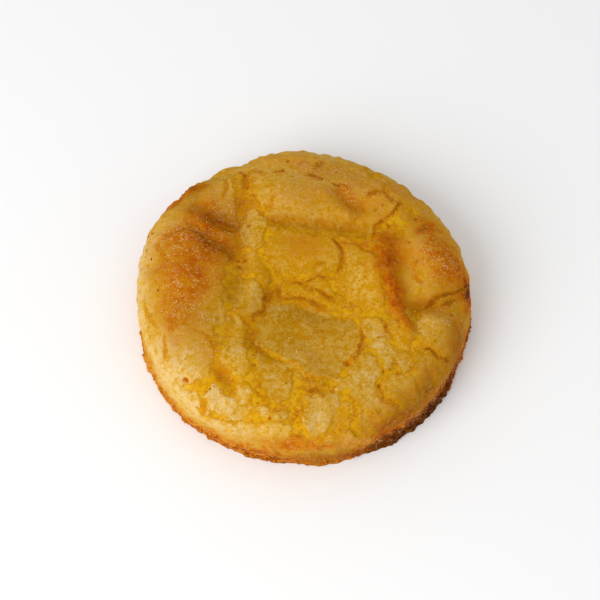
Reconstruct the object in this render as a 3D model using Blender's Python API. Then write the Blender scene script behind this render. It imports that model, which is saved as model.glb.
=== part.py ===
"""Lemon crinkle cookie: one baked piece, sunken and broken into plates on top, on a flat base.

The surface is worked out on a flat map of the cookie. The map's centre is the middle of the
top and its rim is the edge of the base, so a place on it is a direction round the cookie and
a distance walked out and down over the profile. Map places and all sizes are in millimetres;
+X is the cookie's right side, -Y its front, and it stands on Z = 0.
"""

import bmesh
import bpy
import numpy as np

MM = 0.001

# Overall form
BULGE_RADIUS = 37.6  # half the width at the widest height of the side
BULGE_HEIGHT = 7.0
FOOT_RADIUS = 38.0  # the base spreads a little as it bakes
SHOULDER_RADIUS = 24.0  # where the top starts to turn down
SHOULDER_HEIGHT = 16.6
CROWN = 0.6  # how much higher the middle of the plain top is than its shoulder
SHOULDER_ROUNDING = 2.2  # exponent of the curve from the shoulder to the bulge, 2 is an ellipse

# Waves round the outline: how many round the cookie, how high, and their phase in degrees
OUTLINE_WAVES = (
    (2, 0.4, 108),
    (3, 0.26, -38),
    (4, 0.1, 165),
    (5, 0.22, -30),
    (7, 0.14, -55),
    (9, 0.12, 20),
    (14, 0.1, 70),
)

# Swellings and hollows: place, half-lengths, turn in degrees, height
SWELLINGS = {
    "left hump": ((-28, 0), (9.5, 15.5), 4, 2.8),
    "upper left hump": ((-21, 22), (6, 5), -20, 0.2),
    "notch at the back left": ((-18, 31), (5, 4), 20, -1.7),
    "peak at the back": ((-1, 34), (4.5, 4), 0, 1.3),
    "valley at the back left": ((-15.8, 14), (4, 6.5), -8, -1.4),
    "back right shoulder": ((13, 32), (6, 5), 0, -0.9),
    "back hump": ((-2, 21.3), (11, 6.3), -3, 2.4),
    "back right plate": ((21, 21), (6, 5), -30, 0.8),
    "right hump": ((28.5, 4), (6, 9), 8, 2.0),
    "lower right hump": ((29, -14), (6, 6), 0, 1.1),
    "rising right plate": ((16.5, -1), (4, 8), 5, 1.6),
    "upper middle plate": ((0, 6), (9, 4), 0, 0.6),
    "bowl": ((-1, -5), (19, 19), 0, -1.2),
    "sunken middle": ((0, -12), (11, 9), -12, -0.9),
    "lower left hollow": ((-15.9, -25.7), (1.7, 3.4), 30, -0.6),
    "lower left rim": ((-28, -21), (5, 8), -50, 0.9),
    "front left rim": ((-18, -35), (8, 4), -30, 1.0),
    "front rim": ((1, -36), (9, 4), 0, 1.1),
    "front right rim": ((17, -32), (8, 5), 25, 1.2),
    "dent at the left": ((-40, -16), (3, 4), 25, -0.9),
    "dent at the lower left": ((-36, -24), (3, 3.5), 35, -0.6),
    "dent at the back right": ((27, 26), (3, 3), 0, -0.4),
    "right shoulder": ((33.5, 14), (4, 6), 25, 0.5),
    "dent at the right": ((42, -8), (2.5, 4), 0, -0.7),
    "bulge at the right": ((42, 4.5), (2.5, 3), 0, 0.5),
}

# Folds: the ground on the left of each path stands proud over a groove that runs along it.
# Depth of the groove, its half-width on the proud side and on the low one, height and half-width
# of the proud side's lip, path
FOLDS = {
    "under the back hump": (
        (1.25, 2.0, 1.8, 0.6, 3.2),
        ((-9, 16), (-4, 14.8), (3, 13.8), (10, 13.2), (19, 12)),
    ),
    "behind the back hump": (
        (0.7, 2.2, 2.4, 0.4, 2.4),
        ((16, 15.5), (12.5, 18.8), (10, 20.6), (8.3, 22.6), (6.8, 25.5)),
    ),
    "right ridge": (
        (1.2, 2.8, 3.2, 0.8, 2.4),
        ((26.4, -17), (25.6, -13), (25, -9.5), (23.8, -4), (22.4, 2), (21.6, 6), (21.6, 9.5)),
    ),
    "upper left fold": (
        (1.4, 3.0, 1.6, 0.5, 3.0),
        ((-13, 13.5), (-16, 15), (-19, 16.8), (-23, 19), (-27, 22)),
    ),
    "left fold": (
        (1.0, 2.6, 1.8, 0.5, 3.0),
        ((-13.4, 5), (-15.6, 6.8), (-18.8, 8.8), (-21, 10.8), (-23.5, 13), (-28, 15)),
    ),
    "right of the left hump": (
        (0.9, 3.0, 2.0, 0.3, 3.0),
        ((-15.8, -9), (-15, -5), (-14.2, -2), (-13.6, 1), (-13.4, 6), (-14, 11)),
    ),
}

# Cracks between the plates of crust: depth and half-width, path
CRACKS = {
    "back left": ((1.15, 1.5), ((-15, 31), (-13.2, 27.4), (-11.8, 22.7), (-9.8, 18.8), (-6.5, 13.5))),
    "back right": ((1.05, 1.4), ((24, 22), (21.6, 18.6), (17.7, 14.1), (16.2, 11))),
    "right": ((1.25, 1.4), ((41, 1), (36, -1.5), (33, -3.5), (29, -6), (25.5, -8.5))),
    "left of the middle": (
        (1.15, 1.5),
        ((-6.8, -1), (-8.5, -6), (-10.5, -10.5), (-10.5, -14), (-9, -18.5), (-5.5, -21.5)),
    ),
    "above the middle": ((0.75, 1.4), ((-9, -4.5), (-2, -5.6), (4, -7.2), (12, -11))),
    "right of the middle": ((0.85, 1.4), ((12.4, -11.7), (12.7, -15.3), (11.5, -19.8), (9, -23), (4, -26))),
    "beside the upper middle plate": ((0.85, 1.4), ((7.6, 10), (8.8, 5), (6.4, 0.4))),
    "front left": ((0.85, 1.6), ((-30.4, -13.5), (-29.9, -18.5), (-27, -24.5), (-22.5, -27.5))),
    "front left rim": ((0.85, 1.5), ((-26, -28.5), (-18, -34), (-9, -34.5))),
    "front": ((0.95, 1.5), ((0, -25.5), (-1.5, -32), (0.5, -39))),
    "front right": ((0.95, 1.5), ((17.5, -11), (17, -20), (16.8, -27), (20.5, -32))),
    "lower right": ((0.95, 1.4), ((25.2, -18.5), (27.4, -18), (28.8, -18.9), (32.1, -19.1), (34, -21))),
}

ROUGHNESS_WAVES = ((7.0, 0.4), (3.2, 0.11))  # uneven crust: wavelength, height
WANDER = 0.6  # how far cracks and folds stray from their paths
WANDER_WAVE = 4.5
FADE_AT_FOOT = 10.0  # width of the strip above the base where the relief dies away
SEED = 41
LATTICE_SIZE = 256  # random heights along each side of the lattice that the waves are drawn from

GRID_CELLS = 68  # along each side of the square grid that becomes the top and side
PATH_STEPS = 6  # points between two points of a path
END_SHARE = 0.22  # part of a path over which it dies away at each end
PROFILE_STEPS = 160
SETTLING = 0.5  # how far each point moves to the mean of its neighbours in a pass
SETTLING_PASSES = 2
NORMAL_STEP = 0.25  # how far off the points lie that a normal is worked out from
SHARP_ANGLE = 50  # in degrees

CRUST_COLOUR = (0.55, 0.29, 0.07, 1.0)
CRUST_ROUGHNESS = 0.85


def clear_scene():
    for obj in list(bpy.data.objects):
        bpy.data.objects.remove(obj, do_unlink=True)


def profile():
    """Radius, height and distance walked from the middle of the top, down to the foot."""
    t = np.linspace(0, 1, PROFILE_STEPS)
    turn = t * np.pi / 2
    power = 2 / SHOULDER_ROUNDING
    radius = np.concatenate(
        [
            SHOULDER_RADIUS * t,
            SHOULDER_RADIUS + (BULGE_RADIUS - SHOULDER_RADIUS) * np.sin(turn) ** power,
            BULGE_RADIUS + (FOOT_RADIUS - BULGE_RADIUS) * t**2,
        ]
    )
    height = np.concatenate(
        [
            SHOULDER_HEIGHT + CROWN * (1 - t**2),
            BULGE_HEIGHT + (SHOULDER_HEIGHT - BULGE_HEIGHT) * np.cos(turn).clip(0) ** power,
            BULGE_HEIGHT * (1 - t),
        ]
    )
    steps = np.hypot(np.diff(radius), np.diff(height))
    return radius, height, np.concatenate([[0], np.cumsum(steps)])


RADIUS, HEIGHT, WALKED = profile()
MAP_RADIUS = WALKED[-1]


def outline(angle):
    """How much the outline swells at an angle round the cookie, as a factor near 1."""
    swell = sum(high * np.cos(count * angle + np.radians(phase)) for count, high, phase in OUTLINE_WAVES)
    return 1 + swell / BULGE_RADIUS


def plain_surface(p, q):
    """Points of the smooth cookie, without its relief, at places of the map."""
    walked = np.hypot(p, q)
    angle = np.arctan2(q, p)
    radius = np.interp(walked, WALKED, RADIUS) * outline(angle)
    return np.stack([radius * np.cos(angle), radius * np.sin(angle), np.interp(walked, WALKED, HEIGHT)], -1)


def plain_normals(p, q):
    across = plain_surface(p + NORMAL_STEP, q) - plain_surface(p - NORMAL_STEP, q)
    along = plain_surface(p, q + NORMAL_STEP) - plain_surface(p, q - NORMAL_STEP)
    normals = np.cross(across, along)
    return normals / np.linalg.norm(normals, axis=-1, keepdims=True)


def waves(p, q, length, seed):
    """Smooth random heights between -1 and 1 that change over about the given length."""
    size = LATTICE_SIZE
    lattice = np.random.default_rng(seed).uniform(-1, 1, (size, size))
    x = p / length + size / 2
    y = q / length + size / 2
    column = np.floor(x).astype(int)
    row = np.floor(y).astype(int)
    u = x - column
    v = y - row
    u = u * u * (3 - 2 * u)
    v = v * v * (3 - 2 * v)

    def value(rows, columns):
        return lattice[rows % size, columns % size]

    low = value(row, column) * (1 - u) + value(row, column + 1) * u
    high = value(row + 1, column) * (1 - u) + value(row + 1, column + 1) * u
    return low * (1 - v) + high * v


def smooth_path(points):
    """Points of the Catmull-Rom curve through the given ones."""
    points = np.array(points, float)
    ends = np.concatenate([[2 * points[0] - points[1]], points, [2 * points[-1] - points[-2]]])
    t = np.linspace(0, 1, PATH_STEPS, endpoint=False)[:, None]
    curve = []
    for a, b, c, d in zip(ends, ends[1:], ends[2:], ends[3:]):
        bend = t**2 * (a - 2.5 * b + 2 * c - 0.5 * d)
        twist = t**3 * (1.5 * b - 0.5 * a - 1.5 * c + 0.5 * d)
        curve.append(b + 0.5 * t * (c - a) + bend + twist)
    return np.concatenate(curve + [points[-1:]])


def beside_path(p, q, points):
    """Distance to a path, positive on its left, and how far along it the nearest point is, 0 to 1."""
    path = smooth_path(points)
    nearest = np.full(p.shape, np.inf)
    side = np.ones(p.shape)
    place = np.zeros(p.shape)
    for number, (start, end) in enumerate(zip(path, path[1:])):
        run = end - start
        x = p - start[0]
        y = q - start[1]
        t = ((x * run[0] + y * run[1]) / (run @ run)).clip(0, 1)
        distance = np.hypot(x - t * run[0], y - t * run[1])
        closer = distance < nearest
        nearest = np.where(closer, distance, nearest)
        side = np.where(closer, np.sign(run[0] * y - run[1] * x), side)
        place = np.where(closer, (number + t) / (len(path) - 1), place)
    return nearest * side, place


def tapered(place):
    """1 along most of a path, dying away at its two ends."""
    near_end = (np.minimum(place, 1 - place) / END_SHARE).clip(0, 1)
    return near_end**2 * (3 - 2 * near_end)


def swelling(p, q, at, half_lengths, turn, height):
    angle = np.radians(turn)
    x = p - at[0]
    y = q - at[1]
    along = (x * np.cos(angle) + y * np.sin(angle)) / half_lengths[0]
    across = (y * np.cos(angle) - x * np.sin(angle)) / half_lengths[1]
    return height * np.exp(-(along**2) - across**2)


def fold(p, q, sizes, path):
    depth, proud_half_width, low_half_width, lip, lip_width = sizes
    distance, place = beside_path(p, q, path)
    hollow = np.exp(-((distance / np.where(distance > 0, proud_half_width, low_half_width)) ** 2))
    raised = np.where(distance > 0, lip * np.exp(-(((distance - proud_half_width) / lip_width) ** 2)), 0)
    return (raised * (1 - hollow) - depth * hollow) * tapered(place)


def crack(p, q, sizes, path):
    depth, half_width = sizes
    distance, place = beside_path(p, q, path)
    return -depth * tapered(place) * np.exp(-((distance / half_width) ** 2))


def relief(p, q):
    """Height of the real crust above the plain surface, at places of the map."""
    strayed_p = p + WANDER * waves(p, q, WANDER_WAVE, SEED + 50)
    strayed_q = q + WANDER * waves(p, q, WANDER_WAVE, SEED + 60)
    height = sum(swelling(p, q, *sizes) for sizes in SWELLINGS.values())
    height = height + sum(fold(strayed_p, strayed_q, *made) for made in FOLDS.values())
    cracks = [crack(strayed_p, strayed_q, *made) for made in CRACKS.values()]
    height = height + np.min(cracks, axis=0)
    for number, (length, high) in enumerate(ROUGHNESS_WAVES):
        height = height + high * waves(p, q, length, SEED + 10 + number)
    above_foot = MAP_RADIUS - np.hypot(p, q)
    return height * (above_foot / FADE_AT_FOOT).clip(0, 1) ** 1.5


def disc_from_square(u, v):
    """The point of the unit disc for a point of the square from -1 to 1, with even spacing."""
    wide = np.abs(u) >= np.abs(v)
    radius = np.where(wide, u, v)
    ratio = np.divide(np.where(wide, v, u), radius, out=np.zeros_like(u), where=radius != 0)
    angle = np.where(wide, ratio, 2 - ratio) * np.pi / 4
    return radius * np.cos(angle), radius * np.sin(angle)


def crust_material():
    material = bpy.data.materials.new("baked_crust")
    material.use_nodes = True
    shader = material.node_tree.nodes["Principled BSDF"]
    shader.inputs["Base Color"].default_value = CRUST_COLOUR
    shader.inputs["Roughness"].default_value = CRUST_ROUGHNESS
    shader.inputs["Metallic"].default_value = 0.0
    material.diffuse_color = CRUST_COLOUR
    return material


def cookie_mesh():
    """The square grid, bent over the cookie's top and side, and closed by its flat base."""
    bm = bmesh.new()
    bmesh.ops.create_grid(bm, x_segments=GRID_CELLS, y_segments=GRID_CELLS, size=1)
    square = np.array([vertex.co for vertex in bm.verts])
    u, v = disc_from_square(square[:, 0], square[:, 1])
    p = u * MAP_RADIUS
    q = v * MAP_RADIUS
    points = plain_surface(p, q) + plain_normals(p, q) * relief(p, q)[:, None]
    on_foot = np.array([vertex.is_boundary for vertex in bm.verts])
    points[on_foot, 2] = 0
    middle = (points.max(axis=0) + points.min(axis=0)) / 2
    points[:, :2] -= middle[:2]
    for vertex, point in zip(bm.verts, points * MM):
        vertex.co = point
    inside = [vertex for vertex in bm.verts if not vertex.is_boundary]
    for _ in range(SETTLING_PASSES):
        bmesh.ops.smooth_vert(
            bm, verts=inside, factor=SETTLING, use_axis_x=True, use_axis_y=True, use_axis_z=True
        )
    rim = [edge for edge in bm.edges if edge.is_boundary]
    bmesh.ops.edgeloop_fill(bm, edges=rim)
    bmesh.ops.recalc_face_normals(bm, faces=bm.faces)
    mesh = bpy.data.meshes.new("cookie")
    bm.to_mesh(mesh)
    bm.free()
    return mesh


def build():
    clear_scene()
    collection = bpy.data.collections.new("lemon_crinkle_cookie")
    bpy.context.scene.collection.children.link(collection)
    mesh = cookie_mesh()
    mesh.materials.append(crust_material())
    mesh.shade_smooth()
    mesh.set_sharp_from_angle(angle=np.radians(SHARP_ANGLE))
    collection.objects.link(bpy.data.objects.new("cookie", mesh))


build()
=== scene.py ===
"""The looks of a lemon crinkle cookie: its cracked and toasted crust, sugar grains and crumbs.

Places on the crust are given on a flat map, in millimetres: the map's centre is the middle of
the top and its rim is the edge of the base, so a place is a direction round the cookie and a
distance walked out and down over the profile. p runs to the cookie's right, q to its back.

A patch is p, q, its half-lengths along and across, its strength or height, and, where it is
turned, the turn in degrees.
"""

import bmesh
import bpy
import numpy as np
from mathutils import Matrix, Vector


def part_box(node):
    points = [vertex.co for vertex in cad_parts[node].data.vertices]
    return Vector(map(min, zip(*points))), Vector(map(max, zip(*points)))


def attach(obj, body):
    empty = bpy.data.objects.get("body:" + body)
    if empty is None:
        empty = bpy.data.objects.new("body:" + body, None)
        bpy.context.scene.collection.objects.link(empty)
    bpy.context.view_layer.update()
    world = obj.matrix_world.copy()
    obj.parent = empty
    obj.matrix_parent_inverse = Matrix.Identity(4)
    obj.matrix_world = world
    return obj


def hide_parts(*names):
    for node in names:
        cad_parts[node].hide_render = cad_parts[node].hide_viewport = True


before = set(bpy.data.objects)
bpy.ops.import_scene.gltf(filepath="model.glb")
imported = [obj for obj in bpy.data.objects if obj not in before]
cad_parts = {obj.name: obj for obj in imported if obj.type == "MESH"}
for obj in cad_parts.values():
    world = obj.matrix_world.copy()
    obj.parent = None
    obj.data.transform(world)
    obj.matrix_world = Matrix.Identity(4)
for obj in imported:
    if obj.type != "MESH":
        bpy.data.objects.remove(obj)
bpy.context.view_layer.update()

# ---------------------------------------------------------------- sizes, in millimetres
FRAME_WIDTH = 75.83  # the frame's width in the units of the map
LOW, HIGH = (Vector(corner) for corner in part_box("cookie"))
MM = (HIGH.x - LOW.x) / FRAME_WIDTH

BULGE_RADIUS = 37.6  # half the width at the widest height of the side
BULGE_HEIGHT = 7.0
FOOT_RADIUS = 38.0
SHOULDER_RADIUS = 24.0
SHOULDER_HEIGHT = 16.6
SHOULDER_ROUNDING = 2.2  # 2 makes the shoulder a quarter of an ellipse, more makes it squarer
CROWN = 0.6  # the rise of the top inside the shoulder
# Waves of the outline: how many go round, height, phase in degrees
OUTLINE_WAVES = (
    (2, 0.4, 108),
    (3, 0.26, -38),
    (4, 0.1, 165),
    (5, 0.22, -30),
    (7, 0.14, -55),
    (9, 0.12, 20),
    (14, 0.1, 70),
)

# Swellings and hollows
SWELLINGS = {
    "left hump": (-28, 0, 9.5, 15.5, 2.8, 4),
    "upper left hump": (-21, 22, 6, 5, 0.2, -20),
    "notch at the back left": (-18, 31, 5, 4, -1.7, 20),
    "peak at the back": (-1, 34, 4.5, 4, 1.3),
    "valley at the back left": (-15.8, 14, 4, 6.5, -1.4, -8),
    "back right shoulder": (13, 32, 6, 5, -0.9),
    "back hump": (-2, 21.3, 11, 6.3, 2.4, -3),
    "back right plate": (21, 21, 6, 5, 0.8, -30),
    "right hump": (28.5, 4, 6, 9, 2, 8),
    "lower right hump": (29, -14, 6, 6, 1.1),
    "rising right plate": (16.5, -1, 4, 8, 1.6, 5),
    "upper middle plate": (0, 6, 9, 4, 0.6),
    "bowl": (-1, -5, 19, 19, -1.2),
    "sunken middle": (0, -12, 11, 9, -0.9, -12),
    "lower left hollow": (-15.9, -25.7, 1.7, 3.4, -0.6, 30),
    "lower left rim": (-28, -21, 5, 8, 0.9, -50),
    "front left rim": (-18, -35, 8, 4, 1, -30),
    "front rim": (1, -36, 9, 4, 1.1),
    "front right rim": (17, -32, 8, 5, 1.2, 25),
    "dent at the left": (-40, -16, 3, 4, -0.9, 25),
    "dent at the lower left": (-36, -24, 3, 3.5, -0.6, 35),
    "dent at the back right": (27, 26, 3, 3, -0.4),
    "right shoulder": (33.5, 14, 4, 6, 0.5, 25),
    "dent at the right": (42, -8, 2.5, 4, -0.7),
    "bulge at the right": (42, 4.5, 2.5, 3, 0.5),
}

# Folds: the ground on the left of each path stands proud over a groove that runs along it.
# Depth of the groove, its half-width on the proud side and on the low one, height and half-width
# of the proud side's lip, path
FOLDS = {
    "under the back hump": (
        (1.25, 2, 1.8, 0.6, 3.2),
        ((-9, 16), (-6.5, 15.2), (-4, 14.8), (0, 14.2), (3, 13.8), (6.4, 13.6), (10, 13.2), (14, 13),
         (19, 12)),
    ),
    "behind the back hump": (
        (0.7, 2.2, 2.4, 0.4, 2.4),
        ((16, 15.5), (12.5, 18.8), (10, 20.6), (8.3, 22.6), (6.8, 25.5)),
    ),
    "right ridge": (
        (1.2, 2.8, 3.2, 0.8, 2.4),
        ((26.4, -17), (25.6, -13), (25, -9.5), (23.8, -4), (22.4, 2), (21.6, 6), (21.6, 9.5)),
    ),
    "upper left fold": (
        (1.4, 3, 1.6, 0.5, 3),
        ((-13, 13.5), (-16, 15), (-19, 16.8), (-23, 19), (-27, 22)),
    ),
    "left fold": (
        (1, 2.6, 1.8, 0.5, 3),
        ((-13.4, 5), (-15.6, 6.8), (-18.8, 8.8), (-21, 10.8), (-23.5, 13), (-28, 15)),
    ),
    "right of the left hump": (
        (0.9, 3, 2, 0.3, 3),
        ((-15.8, -9), (-15, -5), (-14.2, -2), (-13.6, 1), (-13.4, 6), (-14, 11)),
    ),
    "middle plate edge": (
        (0.2, 0.5, 1, 0.08, 0.6),
        ((-11, -13), (-10.1, -15.6), (-8.2, -18.4), (-6.5, -19.8), (-3.4, -21.6), (-1, -23.5),
         (1.3, -24.7), (5, -26)),
    ),
}  # fmt: skip

# Where the crust has pulled apart over the bare yellow crumb, outlines: from the back's left down
# to the left of the middle, the middle under the back hump's groove, the crumb at the back's
# right, the back's right rim, the front left, the front, and the front right
OPENINGS = (
    ((-14.6, 28.3), (-12.4, 28.3), (-11.2, 25.5), (-11, 22), (-9.8, 18.8), (-7.6, 16), (-5, 13.8),
     (-5, 9), (-9, 3), (-15.5, 6), (-14.2, 9), (-15.4, 12.6), (-14.8, 15.4), (-15.4, 19), (-15.8, 25)),
    ((-17.6, 0.5), (-15.8, 6), (-6, 14), (-3.5, 13.3), (0, 12.7), (5, 12.3), (10, 11.8), (16, 11.4),
     (20, 9.4), (20.6, 3), (20.7, -4), (23.8, -9.2), (14, -22), (-4, -30), (-18.4, -16), (-17, -11),
     (-18.2, -5)),
    ((15.8, 11), (17, 13.8), (19.2, 15.2), (20.8, 17.6), (21.8, 20.4), (23.6, 20.4), (24.9, 18),
     (25, 15.5), (24, 13), (23.5, 10.6), (21, 9.6)),
    ((16, 31), (18.6, 30.5), (19.9, 27.4), (20.6, 24.6), (20.6, 22), (23, 20.4), (25, 18.6), (26.8, 17.4),
     (28.6, 16.6), (27.6, 15), (25, 16), (22.4, 18.4), (19.6, 20.6), (18, 23), (18.2, 26)),
    ((-18.8, -15), (-18.9, -19), (-19.8, -22.4), (-21.4, -24.2), (-24, -25), (-26.6, -26.2),
     (-26.2, -27.3), (-23.4, -27.2), (-22.9, -29), (-23.7, -31.6), (-22.4, -33), (-18, -34.2),
     (-14.6, -35.1), (-11.6, -34.9), (-8.8, -34.7), (-4, -35.4), (-2, -36.4), (0, -37.8), (2, -28),
     (-6, -18)),
    ((-1.6, -22), (-1.6, -37), (1.2, -38.4), (3.4, -39.4), (6, -37.2), (9, -36.6), (11, -36.9),
     (13, -38.2), (17, -38.2), (20, -36.8), (21.5, -34), (22.2, -31.6), (26, -31), (28, -28.4), (18, -19)),
    ((13, -14), (22, -8), (25.2, -9.8), (25, -12.5), (24.7, -16.6), (27.4, -17.2), (29.2, -18),
     (32.4, -18.2), (34, -20.6), (33.4, -24.6), (31, -26.8), (27.4, -29.4), (18, -28)),
)  # fmt: skip

# Plates of crust left standing in the openings: how pale and brown instead of yellow, outline
PLATES = {
    "upper left chip": (1, (
        (-14.5, 13), (-13.7, 15.2), (-12.1, 17.2), (-10.2, 16.6), (-8.6, 15), (-8.5, 12.8), (-8, 10.3),
        (-8.2, 7.6), (-9.5, 6.1), (-10.8, 7), (-12.6, 7.5), (-13.5, 10))),
    "knob": (0.8, ((-7.5, 12.2), (-6.2, 12.9), (-5.2, 11.8), (-5.9, 10.6), (-7.2, 10.7))),
    "upper middle": (0.85, (
        (-6.2, 10), (-4.6, 12.1), (-2.5, 12), (0.2, 10.9), (3.4, 10.9), (5.2, 11.2), (6.9, 10.3),
        (8, 8.7), (8.2, 6.5), (8.1, 4.2), (7.2, 2.2), (5.5, 0.8), (3.4, 0.3), (1, 1), (-1.5, 0.6),
        (-4, 1), (-5.8, 2.7), (-7.3, 4.4), (-7.9, 6.2), (-7, 8.2))),
    "right": (0.5, (
        (9.5, 8), (11.5, 9), (13.3, 8.2), (14.8, 6.4), (16.2, 4), (17, 1), (17.3, -3), (17.6, -7.4),
        (15.5, -8.4), (13, -7.2), (10.5, -5.9), (8.2, -4.4), (7.8, -2), (8.2, 0.5), (9.3, 3), (9.6, 5.5))),
    "right ridge": (0.7, (
        (15.4, 8.4), (17, 9.2), (19, 9.2), (20.4, 6), (20.4, 1), (20.6, -4), (21.9, -8.5), (23.4, -13.5),
        (24.2, -17.4), (22.8, -15.6), (20.8, -12), (18.6, -9), (17.9, -6), (17.8, -2), (17.4, 2),
        (16.6, 5))),
    "left of the middle": (0.95, (
        (-14.7, -8.9), (-15.6, -6.2), (-15.7, -3.4), (-14.4, -0.6), (-12.4, 0.1), (-10.6, -0.7),
        (-9.3, -2.8), (-8.5, -4.2), (-8.9, -6.2), (-9.6, -8), (-10.8, -9.3), (-11.8, -10.7),
        (-13.4, -10.4))),
    "yellow plate": (0.3, (
        (-13, 5.6), (-11, 6), (-9.8, 5), (-8.3, 3.4), (-7.3, 1.8), (-7.3, 0), (-7.3, -1.4), (-8.4, -2.2),
        (-9.8, -0.2), (-11.8, 0.9), (-13.8, 1.2), (-14, 3.5))),
    "middle": (1, (
        (-9.8, -13), (-9.2, -9.6), (-7.4, -6.6), (-4, -6.4), (-1, -6.3), (1.5, -6.9), (4, -7.7),
        (5.5, -8.6), (8.3, -9.6), (11, -10), (12, -12), (12.2, -15.3), (12, -17.6), (11, -19.6),
        (9, -21.8), (8.2, -23.5), (6, -25.5), (4, -25.6), (1.3, -24.4), (-1, -23.2), (-3.4, -21.3),
        (-6.3, -19.4), (-8.2, -18), (-9.8, -15.8))),
    "sliver above the middle": (0.45, (
        (-4.4, -2.2), (-1.2, -2.1), (0.4, -2.4), (1.6, -3.5), (4.4, -5.3), (6.6, -7), (4.8, -6.5),
        (2, -5.3), (-1, -4.8), (-3.6, -4.5), (-4.6, -3.4))),
    "sliver beside it": (0.35, (
        (1.2, -1.6), (3.2, -1), (5.4, -1.4), (7, -3.2), (9, -5.8), (8.4, -6.6), (6.2, -4.8), (4, -3.2),
        (2.2, -2.4))),
    "left ridge": (0.5, (
        (-14.9, -10), (-14.6, -13.5), (-15.6, -16), (-17.1, -19), (-17.3, -21), (-16, -23),
        (-14.7, -24.5), (-12.5, -24.8), (-11.7, -23), (-12, -20), (-12.3, -17.5), (-12.8, -14.5),
        (-13.4, -11.5))),
    "crescent": (1, (
        (-21, -28.5), (-20.8, -30.5), (-19.2, -32.2), (-17.5, -33.2), (-15.2, -34.2), (-13, -34.1),
        (-11.7, -33), (-11, -31), (-10.3, -29), (-10.9, -27), (-12.2, -25.8), (-13.9, -26),
        (-14.3, -27.8), (-13.8, -29.2), (-15.2, -29.6), (-17, -28.6), (-18.2, -26.6), (-19.8, -26.2))),
    "lower middle": (0.85, (
        (-9.4, -25.4), (-8.6, -27.4), (-8, -29.2), (-6.9, -30.1), (-5, -30.7), (-3.3, -29.6), (-2.5, -28),
        (-2.2, -26), (-2.7, -24.2), (-4, -22.8), (-6, -21), (-8, -19.7), (-9.6, -19.8), (-10, -22))),
    "left oval": (1, ((-9.7, -32.4), (-8.3, -31.8), (-6.8, -32.9), (-7.6, -34.2), (-9.3, -33.7))),
    "right oval": (0.9, ((-6.2, -32.4), (-4.5, -32.2), (-2.9, -33), (-3.4, -34.9), (-5.8, -34.8))),
    "lower knob": (0.4, ((0.2, -26), (2, -25.8), (4.3, -26.2), (5, -27), (3.8, -27.7), (1.6, -27.1))),
    "lower centre": (0.95, (
        (0.5, -29.5), (3, -28.8), (5.5, -28.5), (7.3, -29.2), (7.6, -30.6), (6.6, -32), (6.3, -33.6),
        (5.3, -35.6), (4.3, -37.1), (3.1, -38), (1.8, -37), (0.7, -35.5), (0.1, -33), (0.1, -31))),
    "yellow strip": (0.15, (
        (8.4, -30.8), (9.8, -30.3), (10.5, -32), (10.5, -34.2), (9.4, -35.8), (7.6, -35.2), (7, -33.6),
        (7.7, -31.9))),
    "long lower": (0.9, (
        (9.4, -24.2), (10.6, -21.6), (12.2, -19.6), (13.4, -19), (14.8, -20.4), (16, -22.4),
        (16.2, -24.4), (15.7, -26.4), (16.3, -28.8), (17, -30), (19.6, -30.5), (20.4, -32.5),
        (19.7, -34.4), (19, -36.6), (16, -37.4), (13, -37.2), (11.7, -35.6), (11.9, -33), (11.5, -31),
        (10.6, -29.3), (9, -28), (7, -27.8), (7.3, -26.3), (8.8, -25.2))),
    "right of the middle": (0.75, (
        (13, -11), (14.8, -10.2), (16.6, -11), (17, -12.6), (17, -14.8), (15.5, -15.8), (13.5, -15.6),
        (13, -13.4))),
    "below it": (0.8, (
        (15, -16.6), (17.4, -15.4), (19.2, -16), (19.4, -18), (19.3, -21), (19, -22.4), (17.6, -22.5),
        (16.8, -20.6), (15.5, -18.6), (13.9, -17.8))),
    "under the ridge": (0.3, (
        (18.2, -11.6), (19.8, -11.4), (21.3, -13), (23, -15.6), (23.3, -18), (21.4, -17.7), (20.3, -15.6),
        (18.8, -14))),
    "small right": (0.7, (
        (20.4, -18.7), (22.5, -18.7), (23.4, -20), (22.9, -22.2), (21, -22.6), (20.3, -21.2))),
    "lower right": (0.9, (
        (24.4, -19.6), (25.8, -19.1), (28, -19.1), (29.8, -20), (32, -20.1), (33.2, -21.5), (32.5, -24.4),
        (30, -26.2), (27.5, -27.4), (26, -26), (24.8, -24), (24.3, -21.8))),
    "front right": (0.55, (
        (18.1, -24.2), (20.5, -23.8), (22.8, -23.7), (24, -24.8), (25.4, -27), (26.3, -28.6), (25, -30.4),
        (22.4, -30.8), (21, -29.6), (19, -29), (18, -27.6), (17.3, -26))),
}  # fmt: skip
PLATE_EDGE = 0.6  # how far in from its edge a slanted plate reaches its full level
# How plates lie to the ground around them: rise at the middle, slope to the right and to the back
PLATE_SLANTS = {
    "middle": (-0.15, -0.02, -0.05),
    "upper middle": (0.03, 0.005, 0.02),
    "right": (0.15, 0.04, 0.02),
    "left ridge": (0.15, 0.02, 0),
    "lower centre": (0.15, 0.02, 0.03),
}
# Shade painted on the crust of a plate, beyond what its place gives it
PLATE_PAINTED_SHADE = {
    "upper left chip": 0.15,
    "middle": 0.36,
    "lower centre": 0.15,
    "lower middle": 0.25,
    "long lower": 0.25,
    "lower right": 0.3,
    "small right": 0.15,
    "yellow plate": 0.3,
    "left of the middle": 0.15,
    "right oval": 0.3,
}
# Scraps of crust lie about in the openings
SCRAP_THINNING = 0.85  # more of it leaves fewer of them
SCRAP_MARGIN = 0.6  # none lies nearer than this to an opening's edge
SCRAP_COVER = 0.4  # the greatest distance to a scrap's edge
SCRAP_TAN = 0.4  # how pale and brown they are

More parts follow.
